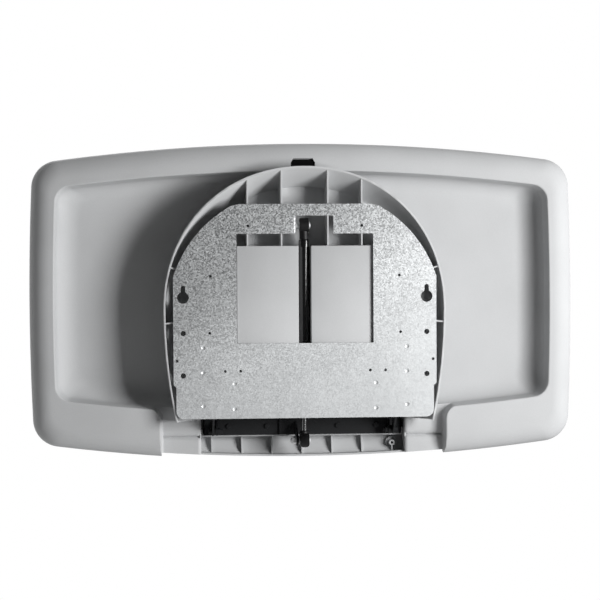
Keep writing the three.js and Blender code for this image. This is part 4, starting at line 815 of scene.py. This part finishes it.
class STATION_OT_bed_cover(bpy.types.Operator):
    """Makes the bed's outer cover, with the shelf, ribs, pillar and bosses in its hinge bay, and the
    props under the tray's floor"""

    bl_idname = "station.bed_cover"
    bl_label = "Bed cover"

    def execute(self, context):
        sizes = context.scene.station_moulding
        rib, wall = sizes.rib / MM, sizes.wall / MM
        grid = relieved(ring_grid(crown_rings(COVER_CROWN, COVER_EDGE, BED_FRONT, COVER_STEPS)))[::-1]
        rows, columns = grid.shape[:2]
        faces = [list(range(columns))] + quads(rows, columns, wrap=True).tolist()
        mesh = mesh_of("bed_cover_moulding", (grid.reshape(-1, 3), faces), inside=(0, -60, BED_MID))
        cover = finish_piece(mesh, "plastic", "bed", ["bed_cover"], BROAD_CREASE)
        thicken(cover, sizes.wall)

        webs = []
        for x in np.arange(-3, 4) * RIB_PITCH:
            foot = low_edge(x) + LIP_RELIEF + wall - ROOTED
            head, slant = SHELF_TOP - ROOTED, RIB_SLANT
            if x == PILLAR_X:
                head, slant = PILLAR_Z - PILLAR_WEB_DROP, 0.0
            webs.append(bay_web(x - rib / 2, rib, foot, head, RIB_START, RIB_START + slant, wall))
        for x in (SHELF_HALF_WIDTH - rib, -SHELF_HALF_WIDTH):
            webs.append(bay_web(x, rib, SHELF_TOP - ROOTED, SHELF_TOP + SHELF_UPSTAND,
                                SHELF_REAR, SHELF_REAR, wall))
        along, low = np.linspace(-SHELF_HALF_WIDTH, SHELF_HALF_WIDTH, 41), SHELF_TOP - rib
        front = stacked(along, cover_depth(along, low, wall - ROOTED), low)
        shelf = slab(strip_between(front, stacked(along, SHELF_REAR, low)), (0, 0, rib))

        half, step = PILLAR_RADIUS / 2, PILLAR_STEP - 1
        pillar = [(PILLAR_BORE, 0), (half, 0), (half, step), (PILLAR_RADIUS, step),
                  (PILLAR_RADIUS, PILLAR_LENGTH), (PILLAR_BORE, PILLAR_LENGTH)]
        boss = [(0, PILOT_END), (PILOT_RADIUS, PILOT_END), (PILOT_RADIUS, BOSS_REAR),
                (BOSS_RADIUS, BOSS_REAR), (BOSS_RADIUS, BED_FRONT), (0, BED_FRONT)]
        posts = [turned(pillar, (PILLAR_X, SHELF_REAR + 1, PILLAR_Z))]
        posts += [turned(boss, (x, 0, BOSS_Z)) for x in CHANNEL_SCREWS]
        for points, _ in posts:
            inner_face = cover_depth(points[:, 0], points[:, 2], wall - ROOTED)
            points[:, 1] = np.minimum(points[:, 1], inner_face)
        props = [block(x - rib / 2, x + rib / 2, PROP_REAR, BED_FRONT - wall + ROOTED, *PROP_SPAN)
                 for x in FLOOR_PROPS]
        ribbing("hinge_bay_ribs", [*webs, shelf, *posts, *props], "bed", "bed_cover", sizes.soft_edge)
        return {"FINISHED"}


class STATION_OT_wall_chassis(bpy.types.Operator):
    """Makes the D-shaped chassis with its ribs, gussets and screw bosses, and its two liner pockets"""

    bl_idname = "station.wall_chassis"
    bl_label = "Wall chassis"

    def execute(self, context):
        sizes = context.scene.station_moulding
        rib, wall = sizes.rib / MM, sizes.wall / MM
        mesh = mesh_of("wall_chassis_moulding", chassis_shell(wall))
        chassis = finish_piece(mesh, "plastic", "wall_unit", ["wall_chassis"])
        soften(chassis, sizes.soft_edge)
        angle = np.linspace(math.asin(RIB_SINK ** (1 / FLARE_POWER)), math.pi / 2, 20)
        flank, top, depth = chassis_side(angle, wall - ROOTED)
        inside = CHASSIS_HALF - flank, CHASSIS_RISE - top, depth
        cuts = [block(-HINGE_ROOM_HALF_WIDTH, HINGE_ROOM_HALF_WIDTH, *HINGE_ROOM_DEPTHS,
                      CHASSIS_BOTTOM - HINGE_ROOM_PAST, HINGE_ROOM_TOP)]
        bosses, webs = [], []
        for side in (1, -1):
            edges = sorted((side * POCKET_INNER, side * POCKET_OUTER))
            cuts.append(block(*edges, *FRONT_CUT, POCKET_BOTTOM, POCKET_TOP))
            cuts += [turned(SCREW_HOLE, (side * x, 0, z)) for x, z in CHASSIS_SCREWS]
            bosses += [turned(SCREW_BOSS, (side * x, 0, z)) for x, z in CHASSIS_SCREWS]
            webs += [self.arch_rib(side * x, rib, *inside) for x in CHASSIS_RIBS]
            webs += [self.gusset(side, math.radians(turn), rib, *inside) for turn in GUSSET_ANGLES]
        carve(chassis, together(*cuts), CREASE)
        ribbing("chassis_ribs", webs + bosses, "wall_unit", "wall_chassis", sizes.soft_edge)
        for side in ("right", "left"):
            softened_node(f"liner_pocket_{side}", "plastic", "wall_unit", POCKET_EDGE * MM)
        return {"FINISHED"}

    @staticmethod
    def arch_rib(x, rib, half, rise, depth):
        """An upright rib from the pocket's top to the arch: z = mid + rise (1 - (x / half)^p)^(1 / p)."""
        height = rise * (1 - (abs(x) / half) ** ARCH_POWER) ** (1 / ARCH_POWER)
        arch = stacked(x - rib / 2, depth, CHASSIS_MID + height)
        return slab(strip_between(arch, stacked(x - rib / 2, depth, POCKET_TOP)), (rib, 0, 0))

    @staticmethod
    def gusset(side, turn, rib, half, rise, depth):
        """A web along a ray from the chassis's middle, out to the superellipse above or the parabola
        below it."""
        cosine, sine = math.cos(turn), math.sin(turn)
        if turn > 0:
            reach = ((cosine / half) ** ARCH_POWER + (sine / rise) ** ARCH_POWER) ** (-1 / ARCH_POWER)
        else:
            bend = sine**2 / (2 * FLANK_RADIUS)
            reach = (-cosine + np.sqrt(cosine**2 + 4 * bend * half)) / (2 * bend)
        start = np.minimum(reach, GUSSET_START)
        outer, inner = (stacked(side * far * cosine, depth, CHASSIS_MID + far * sine)
                        for far in (reach, start))
        normal = rib * np.array([-side * sine, 0, cosine])
        return slab(strip_between(outer, inner) - normal / 2, normal)


class STATION_OT_mounting_plate(bpy.types.Operator):
    """Makes the galvanised plate and the screws that hold it to the chassis"""

    bl_idname = "station.mounting_plate"
    bl_label = "Mounting plate"

    def execute(self, context):
        sizes = context.scene.station_steel
        plate = softened_node("mounting_plate", "galvanised", "wall_unit", sizes.sheet_edge, split=False)
        dents = [self.dent(side * x, z) for side in (1, -1) for x, z in WELDS]
        carve(plate, together(*dents, self.bend(sizes.bend / MM)), SHEET_CREASE)
        for number in range(1, 7):
            softened_node(f"chassis_screw_{number}", "powder", "wall_unit", sizes.small_edge)
        return {"FINISHED"}

    @staticmethod
    def dent(x, z):
        """What a spot weld takes off the sheet: the cap of a ball that stands off its rear face."""
        angle = np.linspace(0, math.radians(WELD_CAP), 12)
        cap = WELD_BALL * stacked(np.sin(angle), np.cos(angle))
        profile = np.insert(cap, len(cap), [0, cap[-1, 1]], axis=0)
        return turned(profile, (x, WELD_DEPTH - WELD_BALL, z), sides=48)

    @staticmethod
    def bend(radius):
        """What a round bend takes off the tab's sharp corner: the corner less a quarter circle."""
        angle = quarter(16)
        x = TAB_X + radius * (1 - np.sin(angle))
        depth = radius * (1 - np.cos(angle))
        low, high = TAB_SPAN
        corner = stacked(np.minimum(x, TAB_X) - 1, np.minimum(depth, 0) - 1, low)
        return slab(strip_between(corner, stacked(x, depth, low)), (0, 0, high - low))


class STATION_OT_hinge(bpy.types.Operator):
    """Makes the hinge: brackets, bushes, channel, pins, nuts and screws"""

    bl_idname = "station.hinge"
    bl_label = "Hinge"

    def execute(self, context):
        sizes = context.scene.station_steel
        for side in ("right", "left"):
            softened_node(f"hinge_bracket_{side}", "powder", "wall_unit", sizes.sheet_edge)
            softened_node(f"hinge_bush_{side}", "nylon", "wall_unit", sizes.small_edge)
            softened_node(f"hinge_pin_{side}", "powder", "bed", sizes.small_edge)
            softened_node(f"hinge_nut_{side}", "powder", "bed", sizes.small_edge)
        softened_node("hinge_channel", "powder", "bed", 0.0, SHEET_CREASE)
        for number in range(1, 5):
            softened_node(f"channel_screw_{number}", "powder", "bed", sizes.small_edge)
        return {"FINISHED"}


class STATION_OT_gas_spring(bpy.types.Operator):
    """Makes the gas spring with its end fittings, pivots and lever"""

    bl_idname = "station.gas_spring"
    bl_label = "Gas spring"

    def execute(self, context):
        sizes = context.scene.station_steel
        tube = mesh_of("gas_spring_tube", turned(TUBE_LOOP, SPRING_TOP, SPRING_WAY, 64))
        finish_piece(tube, "enamel", "gas_cylinder", ["spring_tube"])
        rod = mesh_of("gas_spring_rod", turned(ROD_LOOP, SPRING_TOP, SPRING_WAY, 48))
        finish_piece(rod, "chrome", "gas_rod", ["spring_rod"])
        softened_node("rod_guide", "powder", "gas_cylinder", sizes.small_edge)
        softened_node("tube_end_fitting", "nylon", "gas_cylinder", sizes.nylon_edge)
        eye = softened_node("rod_end_fitting", "nylon", "gas_rod", sizes.nylon_edge)
        carve(eye, together(*(self.corner(side) for side in (1, -1))), EYE_CREASE)
        softened_node("spring_lever", "powder", "bed", sizes.sheet_edge)
        for end, body in (("upper", "wall_unit"), ("lower", "bed")):
            for part in ("stud", "nut", "clip"):
                softened_node(f"{end}_pivot_{part}", "zinc", body, sizes.small_edge)
        softened_node("piston", "nylon", "gas_rod", sizes.small_edge)
        return {"FINISHED"}

    @staticmethod
    def corner(side):
        """What a round foot takes off one lower corner of the rod's eye: a quarter ring round it."""
        low, high = (np.array(corner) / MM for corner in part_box("rod_end_fitting"))
        angle = quarter(10)
        heart = np.array([high[0] - EYE_ROUND, 0, low[2] + EYE_ROUND])
        spoke = EYE_ROUND * stacked(np.sin(angle), 0, -np.cos(angle))
        ring = strip_between(heart + spoke, heart + EYE_RING * spoke) * [side, 1, 1]
        return slab(ring, (0, EYE_DEPTH, 0))


class STATION_OT_strap(bpy.types.Operator):
    """Makes the safety strap, its anchors and its buckle, and the rim's rubber bumper, drawn near black
    partly as painted shade for the slot it fills
    """

    bl_idname = "station.strap"
    bl_label = "Safety strap and bumper"

    def execute(self, context):
        sizes = context.scene.station_steel
        # The bumper's near-black rubber is partly painted shade, for the deep slot in the rim's top
        softened_node("rim_bumper", "rubber", "bed", BUMPER_EDGE * MM)
        for name, (low, high) in STRAP_SPANS.items():
            mesh = mesh_of(name + "_webbing", self.webbing(low, high))
            corners = np.empty(len(mesh.loops), dtype=np.int32)
            mesh.loops.foreach_get("vertex_index", corners)
            places = np.empty(len(mesh.vertices) * 3)
            mesh.vertices.foreach_get("co", places)
            flat = places.reshape(-1, 3)[corners][:, [0, 2]]
            mesh.uv_layers.new(name="weave").data.foreach_set("uv", flat.ravel())
            strap = finish_piece(mesh, "webbing", "bed", [name], STRAP_CREASE)
        for node in ("strap_anchor_upper", "strap_anchor_lower", "buckle_socket", "buckle_tongue"):
            softened_node(node, "nylon", "bed", sizes.nylon_edge)
        for number in range(1, 5):
            softened_node(f"strap_screw_{number}", "zinc", "bed", sizes.small_edge)
        return {"FINISHED"}

    @staticmethod
    def webbing(low, high):
        """A flat strap with two slight waves, lift = w sin^2 t, and edges thinned by (x / half)^6."""
        x, z = np.meshgrid(np.linspace(-1, 1, 15) * STRAP_HALF_WIDTH, np.linspace(low, high, 61))
        lift = STRAP_WAVE * np.sin((z - low) / (high - low) * 2 * np.pi) ** 2
        edge = STRAP_ROUND * np.abs(x / STRAP_HALF_WIDTH) ** 6
        thickness = STRAP_THICKNESS - 2 * edge
        return slab(stacked(x, STRAP_REAR - lift + edge, z), stacked(0, thickness, 0))


class STATION_OT_stage(bpy.types.Operator):
    """Sets up the floor, the light and the camera"""

    bl_idname = "station.stage"
    bl_label = "Stage"

    def execute(self, context):
        scene = context.scene
        settings = scene.station_stage
        scene.view_settings.view_transform = "Standard"
        self.camera(scene)
        self.floor(scene, settings)
        self.world(scene, settings)
        self.lamp(scene, "key lamp", settings.key_power, *KEY_LAMP)
        self.lamp(scene, "room lamp", settings.room_power, *ROOM_LAMP)
        return {"FINISHED"}

    @staticmethod
    def camera(scene):
        """The photograph's camera, from its yaw, pitch, roll, distance and focal length."""
        yaw, pitch, roll = (math.radians(v) for v in (VIEW_YAW, VIEW_PITCH, VIEW_ROLL))
        level = Vector((-math.sin(yaw), -math.cos(yaw), 0))
        forward = level * math.cos(pitch) + Vector((0, 0, math.sin(pitch)))
        right = Vector((-math.cos(yaw), math.sin(yaw), 0))
        up = Vector((0, 0, math.cos(pitch))) - level * math.sin(pitch)
        place = (Vector((0, 0, VIEW_AIM_HEIGHT)) - forward * VIEW_DISTANCE
                 - right * VIEW_ASIDE - up * VIEW_RAISED) * MM
        turned_right = right * math.cos(roll) + up * math.sin(roll)
        turned_up = up * math.cos(roll) - right * math.sin(roll)
        data = bpy.data.cameras.new("camera")
        data.sensor_width = SENSOR_MM
        data.lens = VIEW_FOCAL_PIXELS / VIEW_FRAME_PIXELS * SENSOR_MM
        camera = bpy.data.objects.new("camera", data)
        axes = Matrix((turned_right, turned_up, -forward)).transposed().to_4x4()
        camera.matrix_world = Matrix.Translation(place) @ axes
        scene.collection.objects.link(camera)
        scene.camera = camera

    @staticmethod
    def floor(scene, settings):
        """A plain pale floor, too low to come into the photograph's frame."""
        reach = np.linspace(-FLOOR_REACH, FLOOR_REACH, 6)
        x, y = np.meshgrid(reach, reach)
        points = stacked(x, y, -settings.floor_drop).reshape(-1, 3)
        mesh = bpy.data.meshes.new("floor")
        mesh.from_pydata(points.tolist(), [], quads(len(reach), len(reach)).tolist())
        material, tree, _ = new_material("matt white floor")
        matt = add(tree, "ShaderNodeBsdfDiffuse", {"Color": linear("e6e6e6")})
        add(tree, "ShaderNodeOutputMaterial", {"Surface": (matt, "BSDF")})
        mesh.materials.append(material)
        floor = bpy.data.objects.new("floor", mesh)
        scene.collection.objects.link(floor)

    @staticmethod
    def world(scene, settings):
        """A white backdrop behind the station. The camera sees it white all round, polished metal sees it
        on the backdrop's side, and it lights what faces that side. The camera's side is dim."""
        scene.world = bpy.data.worlds.new("studio")
        scene.world.use_nodes = True
        tree = scene.world.node_tree
        tree.nodes.clear()
        path = add(tree, "ShaderNodeLightPath")
        coords = add(tree, "ShaderNodeTexCoord")
        way = add(tree, "ShaderNodeSeparateXYZ", {"Vector": (coords, "Generated")})
        lit, gloss = (
            ranged(tree, (way, "Y"), dim, bright, 0.35, -0.05, interpolation_type="SMOOTHSTEP")
            for dim, bright in ((settings.ambient, settings.backdrop), (settings.studio_gloss, 1.0)))
        level = add(tree, "ShaderNodeMix", {"Factor": (path, "Is Glossy Ray"), "A": lit, "B": gloss})
        seen = maths(tree, "MAXIMUM", (path, "Is Camera Ray"), (path, "Is Transmission Ray"))
        shown = add(tree, "ShaderNodeMix", {"Factor": seen, "A": (level, "Result"), "B": 1.0})
        sky = add(tree, "ShaderNodeBackground", {"Color": (1, 1, 1, 1), "Strength": (shown, "Result")})
        add(tree, "ShaderNodeOutputWorld", {"Surface": (sky, "Background")})

    @staticmethod
    def lamp(scene, name, power, place, aim, size):
        """A soft lamp that points at aim."""
        data = bpy.data.lights.new(name, "AREA")
        data.energy = power
        data.shape = "RECTANGLE"
        data.size, data.size_y = size
        data.spread = math.radians(LAMP_SPREAD)
        lamp = bpy.data.objects.new(name, data)
        facing = (Vector(aim) - Vector(place)).to_track_quat("-Z", "Y").to_matrix().to_4x4()
        lamp.matrix_world = Matrix.Translation(place) @ facing
        scene.collection.objects.link(lamp)


PIECES = (
    STATION_OT_finishes, STATION_OT_bed_tray, STATION_OT_bed_cover, STATION_OT_wall_chassis,
    STATION_OT_mounting_plate, STATION_OT_hinge, STATION_OT_gas_spring, STATION_OT_strap, STATION_OT_stage)


class STATION_PT_panel(bpy.types.Panel):
    """Lists the station's settings and pieces"""

    bl_idname = "STATION_PT_panel"
    bl_label = "Changing station"
    bl_space_type = "VIEW_3D"
    bl_region_type = "UI"
    bl_category = "Station"

    def draw(self, context):
        for group in GROUPS:
            settings = getattr(context.scene, group)
            box = self.layout.box()
            for name in settings.__annotations__:
                box.prop(settings, name)
        for piece in PIECES:
            self.layout.operator(piece.bl_idname)


GROUPS = {
    "station_moulding": MouldingSettings, "station_steel": SteelSettings,
    "station_finish": FinishSettings, "station_stage": StageSettings}


def register():
    for group in GROUPS.values():
        bpy.utils.register_class(group)
    for piece in (*PIECES, STATION_PT_panel):
        bpy.utils.register_class(piece)
    for name, group in GROUPS.items():
        setattr(bpy.types.Scene, name, PointerProperty(type=group))


def unregister():
    for name in GROUPS:
        delattr(bpy.types.Scene, name)
    for piece in reversed((*GROUPS.values(), *PIECES, STATION_PT_panel)):
        bpy.utils.unregister_class(piece)


def main():
    register()
    for piece in PIECES:
        family, name = piece.bl_idname.split(".")
        getattr(getattr(bpy.ops, family), name)()


if __name__ == "__main__":
    main()
